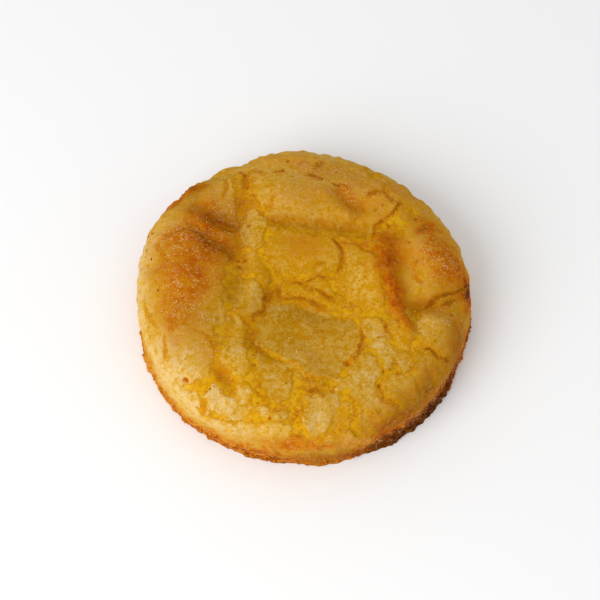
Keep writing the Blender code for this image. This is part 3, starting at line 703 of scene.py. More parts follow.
class Crust:
    """Everything that is worked out over the map: the heights, and what the materials read."""

    def __init__(self, p, q):
        self.p = p
        self.q = q
        self.walked = np.hypot(p, q)
        self.above_foot = MAP_RADIUS - self.walked
        self.stray_p = p + pattern(p, q, "stray to the right")
        self.stray_q = q + pattern(p, q, "stray to the back")
        self.nibbled = pattern(self.stray_p, self.stray_q, "nibbled edges")
        self.shaded_hollows = patches(self.stray_p, self.stray_q, SHADED_HOLLOWS)
        self.read_openings()
        self.read_cracks()
        self.paint()

    def large_relief(self):
        """Humps, hollows, folds and the long waves of the crust."""
        height = patches(self.p, self.q, SWELLINGS.values()) - DEEP_FALL * self.shaded_hollows
        height = height + sum(fold(self.stray_p, self.stray_q, *made) for made in FOLDS.values())
        height = height + pattern(self.p, self.q, "uneven crust")
        return height * (self.above_foot / FADE_AT_FOOT).clip(0, 1) ** 1.5

    def read_openings(self):
        """How far each place is inside the crust, how tan and tilted it is there, and the shade painted on
        it.
        """
        p, q = self.stray_p, self.stray_q
        opened = np.max([inside_outline(p, q, outline) for outline in OPENINGS], axis=0)
        self.cover = -opened
        self.tan = np.ones(p.shape)
        self.slant = np.zeros(p.shape)
        self.painted_shade = np.zeros(p.shape)
        plates = np.full(p.shape, -FAR)
        for name, (tan, outline) in PLATES.items():
            within = inside_outline(p, q, outline)
            rise, right, back = PLATE_SLANTS.get(name, (0, 0, 0))
            middle = np.mean(outline, axis=0)
            level = rise + right * (p - middle[0]) + back * (q - middle[1])
            self.slant = self.slant + level * smoothstep(-0.4, PLATE_EDGE, within)
            # painted shade on the plates that lie in shade
            self.painted_shade = np.maximum(self.painted_shade, PLATE_PAINTED_SHADE.get(name, 0) * smoothstep(-0.3, 0.3, within))
            self.tan = np.where(within > self.cover, tan, self.tan)
            self.cover = np.maximum(self.cover, within)
            plates = np.maximum(plates, within)
        broken = smoothstep(-0.35, 0.35, pattern(p, q, "broken edges"))
        self.edge = bell((self.cover + self.nibbled + EDGE_OUT) / EDGE_WIDTH) * at_least(0.15, broken)
        first, second = cells(p, q, "scraps")
        scraps = (second - first) * 1.2 - SCRAP_THINNING + pattern(p, q, "scraps")
        scraps = np.where(opened > SCRAP_MARGIN, scraps.clip(-FAR, SCRAP_COVER), -FAR)
        self.tan = np.where(scraps > self.cover, SCRAP_TAN, self.tan)
        self.cover = np.maximum(self.cover, scraps) + self.nibbled
        self.plate = smoothstep(-0.32, 0.26, self.cover)
        # painted shade on the places in the shade of the humps and folds
        self.painted_shade = self.painted_shade + patches(p, q, SHADED_PATCHES)
        # shade painted in the hollows, less on the plates
        self.shade = self.shaded_hollows * (1 - 0.75 * smoothstep(-0.3, 0.3, plates + self.nibbled))

    def read_cracks(self):
        """The depth, bare crumb, curled edges and toasting that the cracks and small holes make."""
        p, q = self.stray_p, self.stray_q
        widening = 1 + pattern(self.p, self.q, "crack widths")
        self.crack = EDGE_DEPTH * self.edge
        self.bare = np.zeros(p.shape)
        self.curl = np.zeros(p.shape)
        self.scorch = np.zeros(p.shape)
        self.rift = np.full(p.shape, RIFT_REACH)
        kinds = ((path, sizes) for paths, sizes in CRACK_KINDS for path in paths)
        for path, (depth, half_width, reach, curl, dark) in kinds:
            distance, place = beside_path(p, q, path)
            taper = tapered(place)
            inside = half_width * at_least(END_WIDTH, taper) * widening - np.abs(distance)
            inside = inside + NIBBLING * self.nibbled
            beyond = np.maximum(-inside, 0)
            open_share = smoothstep(-0.16, 0.22, inside)
            self.crack = np.maximum(self.crack, depth * open_share * at_least(END_DEPTH, taper))
            self.bare = np.maximum(self.bare, at_least(END_BARE, taper) * bell(beyond / reach))
            self.curl = np.maximum(self.curl, curl * taper * bell((beyond - CURL_OUT) / CURL_WIDTH))
            self.rift = np.minimum(self.rift, RIFT_REACH - (RIFT_REACH + inside) * taper**0.5 * dark)
        for at, radius in PITS:
            distance = np.hypot(p - at[0], q - at[1]) / radius
            self.crack = np.maximum(self.crack, PIT_DEPTH * radius**0.5 * bell(distance * 1.2))
            self.scorch = np.maximum(self.scorch, PIT_SCORCH * bell(distance * 1.3))

    def paint(self):
        """The shares of bare crumb, cream, toasting, foot and sugar, each about 0 to 1."""
        p, q = self.stray_p, self.stray_q
        blotches = pattern(p, q, "blotches")
        ragged = pattern(p, q, "ragged")

        def uneven(value, blotchy, raggedly):
            return value + blotchy * blotches + raggedly * ragged

        bare = BARE_IN_PATCHES * patches(p, q, CRUMB_PATCHES).clip(0, 1)
        self.crumb = uneven(np.maximum(BARE_BY_CRACKS * self.bare, bare), 0.12, 0)
        whole = self.tan * smoothstep(-0.6, 1, uneven(self.cover, 0.4, 0.3))
        pale = patches(p, q, PALE_PATCHES) * uneven(1, 0.3, 0)
        self.cream = (uneven(CREAM_LEAST + CREAM_OF_CRUST * whole, 0.34, 0.14) + pale).clip(0, 1.6)
        toast = (patches(p, q, TOAST_PATCHES) * uneven(1, 0.3, 0.3)).clip(0, TOAST_LIMIT)
        toast = toast + patches(p, q, [BURNT_END]) * uneven(1, 0.5, 0.6)
        rim = smoothstep(RIM_START, RIM_FULL, uneven(self.walked, 1.4, 1.2))
        rim = rim * (RIM_TOAST_LEAST + self.rim_lobes())
        self.toast = (np.maximum(toast, self.scorch) + rim).clip(0, 1.2)
        self.foot = smoothstep(BAND_TOP, BAND_FULL, uneven(self.above_foot, 0.9, 0.8))
        self.sugar = patches(p, q, SUGAR_PATCHES + FROSTED_PATCHES).clip(0, 1)

    def rim_lobes(self):
        angle = np.degrees(np.arctan2(self.stray_q, self.stray_p))
        return sum(
            strength * bell(((angle - middle + 180) % 360 - 180) / half_width)
            for middle, half_width, strength in RIM_TOAST
        )

    def fine_relief(self):
        """Crumb, flakes, plates, cracks and the ruffled foot."""
        p, q = self.p, self.q
        crumb = smoothstep(0.3, -0.3, self.cover)
        foot = smoothstep(6, 1, self.above_foot)
        small = CRUMB_HEIGHT * (CELL_MIDDLE - cells(p, q, "crumbs")[0])
        large = PILLOW_HEIGHT * (0.5 - cells(p, q, "pillows")[0])
        crumbs = small + large + pattern(p, q, "crumbs")
        first, second = cells(self.stray_p, self.stray_q, "crazing")
        crazed = smoothstep(-0.1, 0.5, pattern(p, q, "crazed areas"))
        crazing = CRAZING_DEPTH * crazed * (1 - smoothstep(0, CRAZING_WIDTH, second - first))
        lumps = CELL_MIDDLE - cells(self.stray_p, self.stray_q, "lumps")[0]
        lumpy = LUMP_HEIGHT * lumps * smoothstep(12, 20, self.walked)
        flaky = smoothstep(28, 37, self.walked) * smoothstep(1, 5, self.above_foot)
        flaky = flaky * (1 + 0.5 * smoothstep(8, 25, q)) * pattern(p, q, "flaky rim")
        height = pattern(p, q, "fine crust") + crumbs * np.maximum(crumb, 2 * foot)
        height = height + (lumpy + flaky - crazing) * (1 - crumb)
        opening = OPENING_DEPTH * smoothstep(3, 5, self.above_foot) * (1 - self.plate)
        height = height + self.slant + self.curl - opening - self.crack
        return height + foot * pattern(p, q, "ruffled foot")


def disc_from_square(u, v):
    """The point of the unit disc for a point of the square from -1 to 1, with even spacing."""
    wide = np.abs(u) >= np.abs(v)
    radius = np.where(wide, u, v)
    ratio = np.divide(np.where(wide, v, u), radius, out=np.zeros_like(u), where=radius != 0)
    angle = np.where(wide, ratio, 2 - ratio) * np.pi / 4
    return radius * np.cos(angle), radius * np.sin(angle)


def square_from_disc(x, y):
    """The reverse of disc_from_square, but for the left quarter, which it mirrors front to back."""
    radius = np.hypot(x, y)
    wide = np.abs(x) >= np.abs(y)
    eighth = np.pi / 4
    u = np.where(wide, np.sign(x) * radius, np.arctan2(x, np.abs(y)) / eighth * radius)
    v = np.where(wide, np.arctan2(y * np.sign(x), np.abs(x)) / eighth * radius, np.sign(y) * radius)
    return u, v


def grid_normals(points):
    """Normals of a square sheet of points, rows by columns."""
    normals = np.cross(np.gradient(points, axis=1), np.gradient(points, axis=0))
    return normals / np.linalg.norm(normals, axis=-1, keepdims=True)


# ---------------------------------------------------------------- the cookie's mesh
def crust_sheet():
    """The sheet of points of the top and side, and what is worked out over it."""
    line = np.linspace(-1, 1, GRID_CELLS + 1)
    p, q = disc_from_square(*np.meshgrid(line, line))
    p = p * MAP_RADIUS
    q = q * MAP_RADIUS
    crust = Crust(p, q)
    points = plain_surface(p, q)
    for relief in (crust.large_relief(), crust.fine_relief()):
        points = points + grid_normals(points) * relief[..., None]
    edge = np.ones(p.shape, bool)
    edge[1:-1, 1:-1] = False
    points[edge, 2] = 0
    points[..., 2] = np.maximum(points[..., 2], 0)
    return points, crust


def hollowness(points):
    """How far each point lies below the mean of the ground around it, in millimetres."""
    height = points[..., 2]
    mean = height.copy()
    for _ in range(HOLLOW_ROUNDS):
        padded = np.pad(mean, 1, mode="edge")
        mean = (padded[:-2, 1:-1] + padded[2:, 1:-1] + padded[1:-1, :-2] + padded[1:-1, 2:] + 4 * mean) / 8
    return mean - height


def base_rings(foot):
    """Rings of points over the underside, from the foot inwards, each nearer the middle."""
    thin = foot[::BASE_THINNING]
    middle = foot.mean(axis=0)
    rings = []
    for share in np.linspace(OUTER_RING, INNER_RING, BASE_RINGS):
        ring = middle + (thin - middle) * share
        x, y, _ = ring.T
        first, _ = cells(x, y, "pores of the base")
        pores = BASE_PORE_DEPTH * bell(first / BASE_PORE_WIDTH)
        ring[:, 2] = (pattern(x, y, "dented base").clip(0) + pores) * smoothstep(1, 0.96, share)
        rings.append(ring)
    return rings


def base_faces(foot, start, count):
    """Faces from the foot's points in to the base's rings, of which the first point has the number start."""
    faces = []
    inner = np.arange(count) + start
    half = BASE_THINNING // 2
    for place, corner in enumerate(inner):
        outer = foot[(place * BASE_THINNING + np.arange(BASE_THINNING + 1)) % len(foot)]
        after = inner[(place + 1) % count]
        faces += [(b, a, corner) for a, b in zip(outer[:half], outer[1 : half + 1])]
        faces += [(b, a, after) for a, b in zip(outer[half:-1], outer[half + 1 :])]
        faces.append((outer[half], corner, after))
    faces = [[int(number) for number in face] for face in faces]
    for depth in range(BASE_RINGS - 1):
        outer = inner + depth * count
        around = np.roll(outer, -1)
        faces += np.stack([around, outer, outer + count, around + count], -1).tolist()
    last = inner + (BASE_RINGS - 1) * count
    return faces + [last[::-1].tolist()]


def add_object(name, data):
    made = bpy.data.objects.new(name, data)
    bpy.context.scene.collection.objects.link(made)
    return made


def store(mesh, name, values):
    layer = mesh.attributes.new(name, "FLOAT", "POINT")
    layer.data.foreach_set("value", values.astype(np.float32))


def cookie_piece():
    sheet, crust = crust_sheet()
    number = np.arange(sheet[..., 0].size).reshape(sheet.shape[:2])
    points = sheet.reshape(-1, 3)
    foot = np.concatenate([number[0, :-1], number[:-1, -1], number[-1, :0:-1], number[:0:-1, 0]])
    rings = base_rings(points[foot])
    quads = np.stack([number[:-1, :-1], number[:-1, 1:], number[1:, 1:], number[1:, :-1]], -1)
    faces = quads.reshape(-1, 4).tolist() + base_faces(foot, len(points), len(rings[0]))
    mesh = bpy.data.meshes.new("cookie_crust")
    mesh.from_pydata((np.concatenate([points, *rings]) * MM).tolist(), [], faces)
    x, y, _ = np.concatenate(rings).T
    for name, value, below in (
        ("cover", crust.cover.clip(-COVER_REACH, COVER_REACH), COVER_REACH),
        ("crumb", crust.crumb, 0),
        ("rift", crust.rift, RIFT_REACH),
        # shade painted in hollows: how far below the ground around, and the shaded hollows
        ("hollow_shade", hollowness(sheet) + crust.shade, 0),
        # painted shade of the plates, humps and folds
        ("painted_shade", crust.painted_shade, 0),
        ("toast", crust.toast, 0.62 + pattern(x, y, "mottled base")),
        ("cream", crust.cream, 0.3),
        ("foot", crust.foot, 0.6),
        ("sugar", crust.sugar, 0),
    ):
        store(mesh, name, np.concatenate([value.reshape(-1), below + np.zeros(len(x))]))
    bm = bmesh.new()
    bm.from_mesh(mesh)
    bmesh.ops.recalc_face_normals(bm, faces=bm.faces)
    bm.to_mesh(mesh)
    bm.free()
    mesh.shade_smooth()
    mesh.materials.append(crust_material())
    return add_object("cookie_crust", mesh), sheet, crust


# ---------------------------------------------------------------- materials
CREAM = (0.595, 0.334, 0.038, 1)
PALE = (0.655, 0.442, 0.165, 1)
GOLDEN = (0.53, 0.243, 0.0005, 1)
PORE = (0.42, 0.175, 0.002, 1)
CRUMB_YELLOW = (0.62, 0.325, 0.003, 1)
CRUMB_OCHRE = (0.5, 0.198, 0.0003, 1)
CRUMB_FLECK = (0.665, 0.385, 0.04, 1)
# ochre of the shade painted on the crumb under the plates' edges
UNDER_EDGE_SHADE_OCHRE = (0.47, 0.185, 0.0005, 1)
# tints of the shade painted in hollows, the second where they are deepest
HOLLOW_SHADE_TINT = (0.86, 0.7, 0.3, 1)
SHADOW_TINT = (0.8, 0.7, 0.5, 1)
# tint of the painted shade on plates and shaded places
PAINTED_SHADE_TINT = (0.7, 0.665, 0.61, 1)
# colours of the shade painted in cracks and along the plates' edges
CRACK_SHADE_OCHRE = (0.46, 0.16, 0.001, 1)
RIFT_SHADE_BROWN = (0.32, 0.105, 0.001, 1)
EDGE_SHADE_OCHRE = (0.46, 0.175, 0.001, 1)
FOOT_TAN = (0.58, 0.265, 0.04, 1)
FOOT_DARK = (0.2, 0.05, 0.0015, 1)
FOOT_BURNT = (0.11, 0.024, 0.001, 1)
SUGAR_WHITE = (0.72, 0.47, 0.22, 1)
FROST = (0.62, 0.315, 0.055, 1)
CRYSTAL_TAN = (0.57, 0.29, 0.055, 1)
CRYSTAL_PALE = (0.7, 0.44, 0.17, 1)
SPECK_BLACK = (0.14, 0.035, 0.004, 1)
SPECK_BROWN = (0.26, 0.07, 0.006, 1)
FLOOR_GREY = (0.93, 0.93, 0.93, 1)
TOAST_STEPS = (
    (0, (0.53, 0.235, 0.003, 1)),
    (0.3, (0.51, 0.155, 0.001, 1)),
    (0.62, (0.43, 0.086, 0.0005, 1)),
    (1, (0.09, 0.018, 0.0008, 1)),
)
# Noises that ruffle the crust's colours: size of the grain in millimetres, detail, roughness, and
# how much flatter than wide the grain is
NOISES = {
    "coarse": (2.6, 3),
    "lump": (1.3, 2),
    "stipple": (0.62, 2, 0.6),
    "grit": (0.42, 1),
    "fine": (0.3, 1),
    "streak": (1.5, 4, 0.65, 2.6),
    "grain": (0.5, 2, 0.6, 1.5),
}


class Nodes:
    """Short calls for the nodes of one material."""

    def __init__(self, name):
        self.material = bpy.data.materials.new(name)
        self.material.use_nodes = True
        self.tree = self.material.node_tree
        self.place = self.add("ShaderNodeTexCoord").outputs["Object"]
        self.named_noises = {}

    def add(self, kind, **settings):
        node = self.tree.nodes.new(kind)
        for key, value in settings.items():
            setattr(node, key, value)
        return node

    def feed(self, node, values):
        """Sets or links sockets of a node, given by name or number."""
        for key, value in values.items():
            if isinstance(value, bpy.types.NodeSocket):
                self.tree.links.new(value, node.inputs[key])
            else:
                node.inputs[key].default_value = value

    def surface(self, **values):
        """Sets or links the shader's sockets, with _ for a space and in lower case."""
        shader = self.tree.nodes["Principled BSDF"]
        names = {socket.name.lower().replace(" ", "_"): socket.name for socket in shader.inputs}
        self.feed(shader, {names[key]: value for key, value in values.items()})
        return self.material

    def attribute(self, name):
        return self.add("ShaderNodeAttribute", attribute_name=name).outputs["Fac"]

    def math(self, operation, first, second=0.0):
        node = self.add("ShaderNodeMath", operation=operation)
        self.feed(node, {0: first, 1: second})
        return node.outputs[0]

    def times(self, first, *factors):
        for factor in factors:
            first = self.math("MULTIPLY", first, factor)
        return first

    def sum(self, total, **weights):
        """The total plus each named noise, measured from its middle value, times its weight."""
        for name, weight in weights.items():
            centred = self.math("SUBTRACT", self.named(name), 0.5)
            total = self.math("ADD", total, self.times(centred, weight))
        return total

    def named(self, name):
        if name not in self.named_noises:
            self.named_noises[name] = self.noise(*NOISES[name])
        return self.named_noises[name]

    def range(self, value, low, high, to_low=0.0, to_high=1.0):
        """The value carried smoothly from the first range to the second, and held at its ends."""
        node = self.add("ShaderNodeMapRange", interpolation_type="SMOOTHSTEP")
        self.feed(node, dict(enumerate((value, low, high, to_low, to_high))))
        return node.outputs[0]

    def noise(self, size, detail=3.0, roughness=0.55, flatten=1.0):
        """Noise whose grain is the given size in millimetres, that much flatter than wide."""
        squash = self.add("ShaderNodeMapping")
        self.feed(squash, {"Vector": self.place, "Scale": (1, 1, flatten)})
        node = self.add("ShaderNodeTexNoise")
        sockets = {"Vector": squash.outputs["Vector"], "Scale": 1 / (size * MM)}
        self.feed(node, sockets | {"Detail": detail, "Roughness": roughness})
        return node.outputs["Fac"]

    def cells(self, size):
        node = self.add("ShaderNodeTexVoronoi")
        self.feed(node, {"Vector": self.place, "Scale": 1 / (size * MM)})
        return node.outputs["Distance"]

    def mix(self, share, first, second, **settings):
        node = self.add("ShaderNodeMix", data_type="RGBA", **settings)
        colours = [number for number, socket in enumerate(node.inputs) if socket.type == "RGBA"]
        self.feed(node, {0: share, colours[0]: first, colours[1]: second})
        return next(socket for socket in node.outputs if socket.type == "RGBA")

    def tint(self, share, colour, tint):
        """The colour times the tint, as far as the share goes."""
        return self.mix(share, colour, tint, blend_type="MULTIPLY")

    def ramp(self, value, steps):
        node = self.add("ShaderNodeValToRGB")
        elements = node.color_ramp.elements
        while len(elements) < len(steps):
            elements.new(0.5)
        for element, (place, colour) in zip(elements, steps):
            element.position = place
            element.color = colour
        self.feed(node, {0: value})
        return node.outputs["Color"]

    def bump(self, height, distance, strength, **under):
        node = self.add("ShaderNodeBump")
        self.feed(node, {"Height": height, "Distance": distance * MM, "Strength": strength} | under)
        return node.outputs["Normal"]


def baked_colour(n):
    """Golden to pale crust with small pores."""
    share = n.sum(n.attribute("cream"), stipple=2.6, lump=2.4, coarse=1.2, fine=1.4)
    colour = n.mix(n.range(share, 0.18, 0.95), GOLDEN, CREAM)
    colour = n.mix(n.range(share, 1.0, 1.9), colour, PALE)
    where = n.range(n.noise(size=4, detail=1), 0.4, 0.6, 0.2, 0.75)
    pores = n.times(n.range(n.cells(size=1.4), 0.26, 0.1), where)
    return n.mix(pores, colour, PORE)


def crumb_colour(n, cover, hollow_shade):
    """Yellow crumb mottled with ochre; pale flecks thin out in the painted hollow shade; ochre painted shade
    under plate edges.
    """
    depth = n.sum(0.4, coarse=3, lump=1.8, stipple=1.6, fine=0.8)
    colour = n.mix(n.range(depth, 0, 1), CRUMB_YELLOW, CRUMB_OCHRE)
    # fewer pale flecks where shade is painted in hollows, more on high places
    high = n.math("SUBTRACT", 0.1, n.times(hollow_shade, 1.4))
    flecks = n.range(n.sum(high, coarse=-1.5, lump=0.8, stipple=2.2, fine=1.4), 0.2, 0.9, 0, 0.8)
    colour = n.mix(flecks, colour, CRUMB_FLECK)
    # shade painted in ochre on the crumb under the plates' edges
    where = n.range(n.noise(size=2, detail=1), 0.42, 0.6, 0, 0.65)
    under_edge = n.times(n.range(cover, -0.6, -0.1), where)
    return n.mix(under_edge, colour, UNDER_EDGE_SHADE_OCHRE)


def toasted(n, colour, toast):
    """Orange to brown toasting over the colour, with a frosting of fine sugar."""
    grainy = n.sum(1.0, coarse=2.2, lump=2.2, stipple=3, fine=1.6)
    heat = n.times(toast, n.range(grainy, 0, 2, 0.5, 1.5))
    frosty = n.math("SUBTRACT", n.times(n.attribute("sugar"), 0.8), 0.42)
    frosty = n.sum(frosty, lump=1.2, stipple=4, fine=2.6)
    frost = n.times(n.range(frosty, 0.1, 0.9, 0, 0.75), n.range(heat, 0.44, 0.15))
    return n.mix(n.range(heat, 0, 0.3), colour, n.mix(frost, n.ramp(heat, TOAST_STEPS), FROST))


def with_foot(n, colour, toast):
    """The crumbly band round the foot: tan, peppered and in places scorched."""
    foot = n.attribute("foot")
    tan = n.range(n.sum(0.5, streak=1.5, grain=1.5), 0.3, 0.7, 0, 0.75)
    colour = n.mix(n.times(foot, tan, n.range(toast, 0.9, 0.3, 0.1, 1)), colour, FOOT_TAN)
    peppered = n.times(n.range(n.cells(size=1), 0.24, 0.1), n.range(n.named("grain"), 0.42, 0.56), 0.6)
    colour = n.mix(n.times(foot, peppered), colour, FOOT_DARK)
    burnt = n.sum(n.math("ADD", n.times(foot, 0.12), n.times(toast, 1.3)), streak=-1.8, grain=-1.1)
    scorched = n.range(n.sum(toast, grain=2.2, streak=1.2), 0.75, 1.3)
    scorched = n.mix(scorched, FOOT_DARK, FOOT_BURNT)
    return n.mix(n.times(foot, n.range(burnt, 0.75, 1.07)), colour, scorched)


def cracked(n, colour, cover):
    """Painted shade in the cracks, brown with an ochre halo, and in broken ochre lines along plate edges."""
    crack = n.sum(n.attribute("rift"), fine=1.1, stipple=1.5, lump=0.9)
    colour = n.mix(n.range(crack, 0.75, 0.2, 0, 0.75), colour, CRACK_SHADE_OCHRE)
    colour = n.mix(n.range(crack, 0.2, 0, 0, 0.85), colour, RIFT_SHADE_BROWN)
    edge = n.math("ABSOLUTE", n.math("ADD", cover, 0.1))
    where = n.range(n.noise(size=2.2, detail=1), 0.46, 0.6, 0, 0.7)
    line = n.times(n.range(edge, 0.24, 0.04), where)
    return n.mix(line, colour, EDGE_SHADE_OCHRE)


def crust_material():
    n = Nodes("baked_lemon_crust")
    hollow_shade = n.attribute("hollow_shade")
    toast = n.attribute("toast")
    cover = n.sum(n.attribute("cover"), lump=1.5, stipple=1.1, fine=0.4)
    opened = n.sum(n.attribute("crumb"), lump=0.8, stipple=0.9)
    crumb = n.math("MAXIMUM", n.range(cover, 0.2, -0.28), n.range(opened, 0.35, 0.75))
    colour = n.mix(crumb, baked_colour(n), crumb_colour(n, cover, hollow_shade))
    # shade painted in the hollows: ochre, then darker and greyer where they are deepest
    shade_in_hollows = n.sum(hollow_shade, lump=0.3, stipple=1, fine=0.5)
    colour = n.tint(n.range(shade_in_hollows, 0, 1), colour, HOLLOW_SHADE_TINT)
    colour = n.tint(n.range(shade_in_hollows, 0.8, 1.9), colour, SHADOW_TINT)
    colour = cracked(n, with_foot(n, toasted(n, colour, toast), toast), cover)
    where = n.range(n.noise(size=1.4, detail=2), 0.4, 0.6)
    sugared = n.range(n.attribute("sugar"), 0, 0.8, 0.12, 0.6)
    dusting = n.times(n.range(n.named("grit"), 0.52, 0.66), where, sugared)
    colour = n.mix(dusting, colour, SUGAR_WHITE)
    colour = n.tint(1, colour, n.sum(0.995, fine=0.07, grit=0.06))
    under = n.bump(crumb, distance=-0.1, strength=0.3)
    bumps = n.math("ADD", n.named("fine"), n.named("stipple"))
    return n.surface(
        # painted shade: a greyish darkening of the plates and places in shade
        base_color=n.tint(n.attribute("painted_shade"), colour, PAINTED_SHADE_TINT),
        roughness=n.range(n.named("fine"), 0.3, 0.7, 0.62, 0.9),
        specular_ior_level=0.03,
        subsurface_weight=0.25,
        subsurface_radius=(1, 0.55, 0.12),
        subsurface_scale=0.8 * MM,
        normal=n.bump(bumps, distance=0.12, strength=0.1, Normal=under),
    )


def sugar_material():
    n = Nodes("sugar_crystal")
    return n.surface(
        base_color=n.mix(n.range(n.noise(size=1.3, detail=0), 0.55, 0.66), CRYSTAL_TAN, CRYSTAL_PALE),
        roughness=n.range(n.noise(size=0.8), 0.3, 0.7, 0.3, 0.55),
        specular_ior_level=0.3,
        subsurface_weight=0.5,
        subsurface_radius=(1, 0.7, 0.35),
        subsurface_scale=0.3 * MM,
    )


def crumb_material():
    n = Nodes("loose_crumb")
    shade = n.math("ADD", n.attribute("toast"), n.range(n.noise(size=1.5), 0.3, 0.7, -0.2, 0.2))
    return n.surface(
        base_color=n.mix(n.range(shade, 0, 0.3), GOLDEN, n.ramp(shade, TOAST_STEPS)),
        roughness=0.85,
        specular_ior_level=0.1,
        normal=n.bump(n.noise(size=0.3), distance=0.1, strength=0.6),
    )


def speck_material():
    n = Nodes("burnt_speck")
    colour = n.mix(n.range(n.noise(size=0.4), 0.35, 0.65), SPECK_BLACK, SPECK_BROWN)
    return n.surface(base_color=colour, roughness=0.8, specular_ior_level=0.1)


# ---------------------------------------------------------------- scattered pieces
class Ground:
    """The surface under the scattered pieces: points, normals and toasting at places of the map."""

    def __init__(self, points, toast):
        self.layers = (points, grid_normals(points), toast[..., None])

    def at(self, p, q):
        u, v = square_from_disc(p / MAP_RADIUS, q / MAP_RADIUS)
        column = ((u + 1) / 2 * GRID_CELLS).clip(0, GRID_CELLS - 1e-6)
        row = ((v + 1) / 2 * GRID_CELLS).clip(0, GRID_CELLS - 1e-6)
        i = row.astype(int)
        j = column.astype(int)
        s = (row - i)[:, None]
        t = (column - j)[:, None]
        for values in self.layers:
            low = values[i, j] * (1 - t) + values[i, j + 1] * t
            high = values[i + 1, j] * (1 - t) + values[i + 1, j + 1] * t
            yield low * (1 - s) + high * s


def random_rotations(count, rng):
    turns = rng.standard_normal((count, 4))
    turns /= np.linalg.norm(turns, axis=1, keepdims=True)
    w, x, y, z = turns.T
    rows = (
        (1 - 2 * (y * y + z * z), 2 * (x * y - z * w), 2 * (x * z + y * w)),
        (2 * (x * y + z * w), 1 - 2 * (x * x + z * z), 2 * (y * z - x * w)),
        (2 * (x * z - y * w), 2 * (y * z + x * w), 1 - 2 * (x * x + y * y)),
    )
    return np.moveaxis(np.array(rows), -1, 0)


def joined_grains(name, body, at, sizes, rise, ground, rng):
    """One mesh of many small bodies, each turned at random and set on its place of the map."""
    points, normals, toast = ground.at(*at.T)
    middles = points + normals * (sizes * rise)[:, None]
    middles[:, 2] = np.maximum(middles[:, 2], sizes * LOWEST_RISE)
    corners = np.array([vertex.co for vertex in body.verts])
    loops = np.array([[vertex.index for vertex in face.verts] for face in body.faces])
    count = len(at)
    rotations = random_rotations(count, rng)
    stretch = rng.uniform(*STRETCH, (count, 1, 3)) * sizes[:, None, None]
    jitter = 1 + JAGGEDNESS * rng.standard_normal((count, len(corners), 1)).clip(-1.5, 1.5)
    shaped = np.einsum("nij,nkj->nki", rotations, corners[None] * stretch * jitter)
    vertices = (shaped + middles[:, None, :]).reshape(-1, 3)
    faces = (loops[None] + (np.arange(count) * len(corners))[:, None, None]).reshape(-1, loops.shape[1])
    mesh = bpy.data.meshes.new(name)
    mesh.from_pydata((vertices * MM).tolist(), [], faces.tolist())
    store(mesh, "toast", np.repeat(toast, len(corners)))
    return add_object(name, mesh)


def body_of(make, **sizes):
    bm = bmesh.new()
    make(bm, **sizes)
    bm.verts.index_update()
    return bm


def scattered_places(count, weight, rng):
    """Random places of the map, thicker where the weight is higher."""
    found = np.zeros((0, 2))
    while len(found) < count:
        tries = rng.uniform(-MAP_RADIUS, MAP_RADIUS, (count * 4, 2))
        tries = tries[np.hypot(*tries.T) < MAP_RADIUS - SCATTER_MARGIN]
        kept = rng.uniform(0, 1, len(tries)) < weight(*tries.T)
        found = np.concatenate([found, tries[kept]])
    return found[:count]


def sugar_piece(ground):
    rng = np.random.default_rng(SEED + 80)

    def weight(p, q):
        thick = patches(p, q, SUGAR_PATCHES) * smoothstep(-0.3, 0.6, pattern(p, q, "sugared areas"))
        return thick + SUGAR_ELSEWHERE * smoothstep(46, 36, np.hypot(p, q))

    at = scattered_places(SUGAR_GRAINS, weight, rng)
    sizes = rng.uniform(*SUGAR_SIZES, len(at))
    cube = body_of(bmesh.ops.create_cube, size=2)
    piece = joined_grains("sugar_grains", cube, at, sizes, SUGAR_RISE, ground, rng)
    piece.data.materials.append(sugar_material())
    return piece


def crumb_piece(ground):
    rng = np.random.default_rng(SEED + 82)

    def weight(p, q):
        at_foot = CRUMBS_AT_FOOT * smoothstep(45.5, 49, np.hypot(p, q))
        return at_foot + CRUMBS_IN_OPENINGS * patches(p, q, CRUMB_PATCHES).clip(0, 1)

    at = scattered_places(CRUMB_COUNT, weight, rng)
    sizes = rng.uniform(*CRUMB_SIZES, len(at)) * rng.uniform(0.6, 1, len(at))
    ball = body_of(bmesh.ops.create_icosphere, subdivisions=2, radius=1)
    piece = joined_grains("loose_crumbs", ball, at, sizes, CRUMB_RISE, ground, rng)
    piece.data.materials.append(crumb_material())
    piece.data.shade_smooth()
    return piece


def speck_piece(ground):
    rng = np.random.default_rng(SEED + 83)
    at = np.array([place for place, _ in SPECKS], float)
    sizes = np.array([radius for _, radius in SPECKS])
    ball = body_of(bmesh.ops.create_icosphere, subdivisions=2, radius=1)
    piece = joined_grains("burnt_specks", ball, at, sizes, SPECK_RISE, ground, rng)
    piece.data.materials.append(speck_material())
    piece.data.shade_smooth()
    return piece


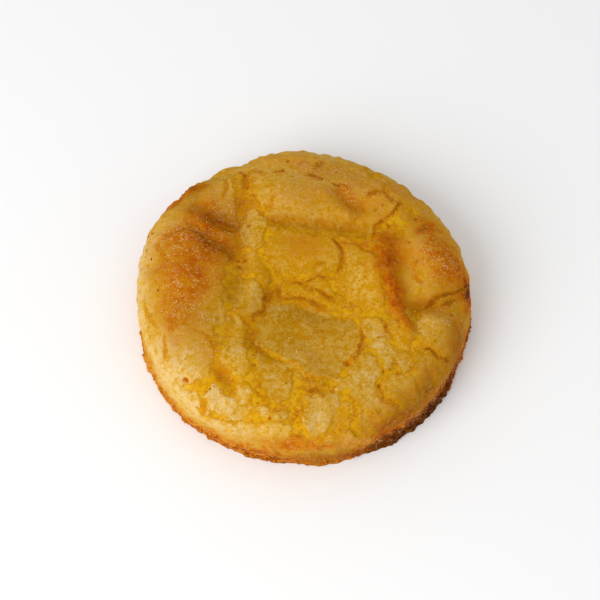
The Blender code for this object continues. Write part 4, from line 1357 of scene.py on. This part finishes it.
# ---------------------------------------------------------------- floor, light and camera
CAMERA_AZIMUTH = -90.0
CAMERA_ELEVATION = 60.0
CAMERA_DISTANCE = 380.0
CAMERA_LENS = 101.2
CAMERA_TARGET = (-0.6, -0.9, 7.45)
KEY_AZIMUTH = 224.0
KEY_ELEVATION = 35.5
KEY_DISTANCE = 700.0
KEY_SIZE = 600.0
KEY_POWER = 3.45
WORLD_LIGHT = 0.68
FLOOR_HALF_WIDTH = 3.0  # in metres, past the edge of every view


def put_round(obj, target, azimuth, elevation, distance):
    """Puts the object in a direction from the target, and turns it there. Lengths in millimetres."""
    a = np.radians(azimuth)
    e = np.radians(elevation)
    away = Vector((np.cos(a) * np.cos(e), np.sin(a) * np.cos(e), np.sin(e)))
    obj.location = (Vector(target) + away * distance) * MM
    obj.rotation_euler = (-away).to_track_quat("-Z", "Y").to_euler()


def add_camera():
    camera = add_object("camera", bpy.data.cameras.new("camera"))
    camera.data.lens = CAMERA_LENS
    camera.data.sensor_width = 36
    camera.data.clip_start = 0.01
    put_round(camera, CAMERA_TARGET, CAMERA_AZIMUTH, CAMERA_ELEVATION, CAMERA_DISTANCE)
    bpy.context.scene.camera = camera


def add_lights():
    key = bpy.data.lights.new("key", "AREA")
    key.shape = "DISK"
    key.size = KEY_SIZE * MM
    key.energy = KEY_POWER
    put_round(add_object("key", key), (0, 0, 0), KEY_AZIMUTH, KEY_ELEVATION, KEY_DISTANCE)
    world = bpy.data.worlds.new("studio")
    world.use_nodes = True
    background = world.node_tree.nodes["Background"]
    background.inputs["Color"].default_value = (1, 1, 1, 1)
    background.inputs["Strength"].default_value = WORLD_LIGHT
    bpy.context.scene.world = world


def add_floor():
    mesh = bpy.data.meshes.new("floor")
    bm = bmesh.new()
    bmesh.ops.create_grid(bm, x_segments=1, y_segments=1, size=FLOOR_HALF_WIDTH)
    bm.to_mesh(mesh)
    bm.free()
    n = Nodes("pale_floor")
    mesh.materials.append(n.surface(base_color=FLOOR_GREY, roughness=0.9, specular_ior_level=0.1))
    add_object("floor", mesh)


add_camera()
add_lights()
add_floor()
cookie, sheet, crust = cookie_piece()
ground = Ground(sheet, crust.toast)
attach(cookie, "root")
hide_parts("cookie")
for piece in (sugar_piece(ground), crumb_piece(ground), speck_piece(ground)):
    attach(piece, "root")

bpy.context.scene.view_settings.view_transform = "Standard"
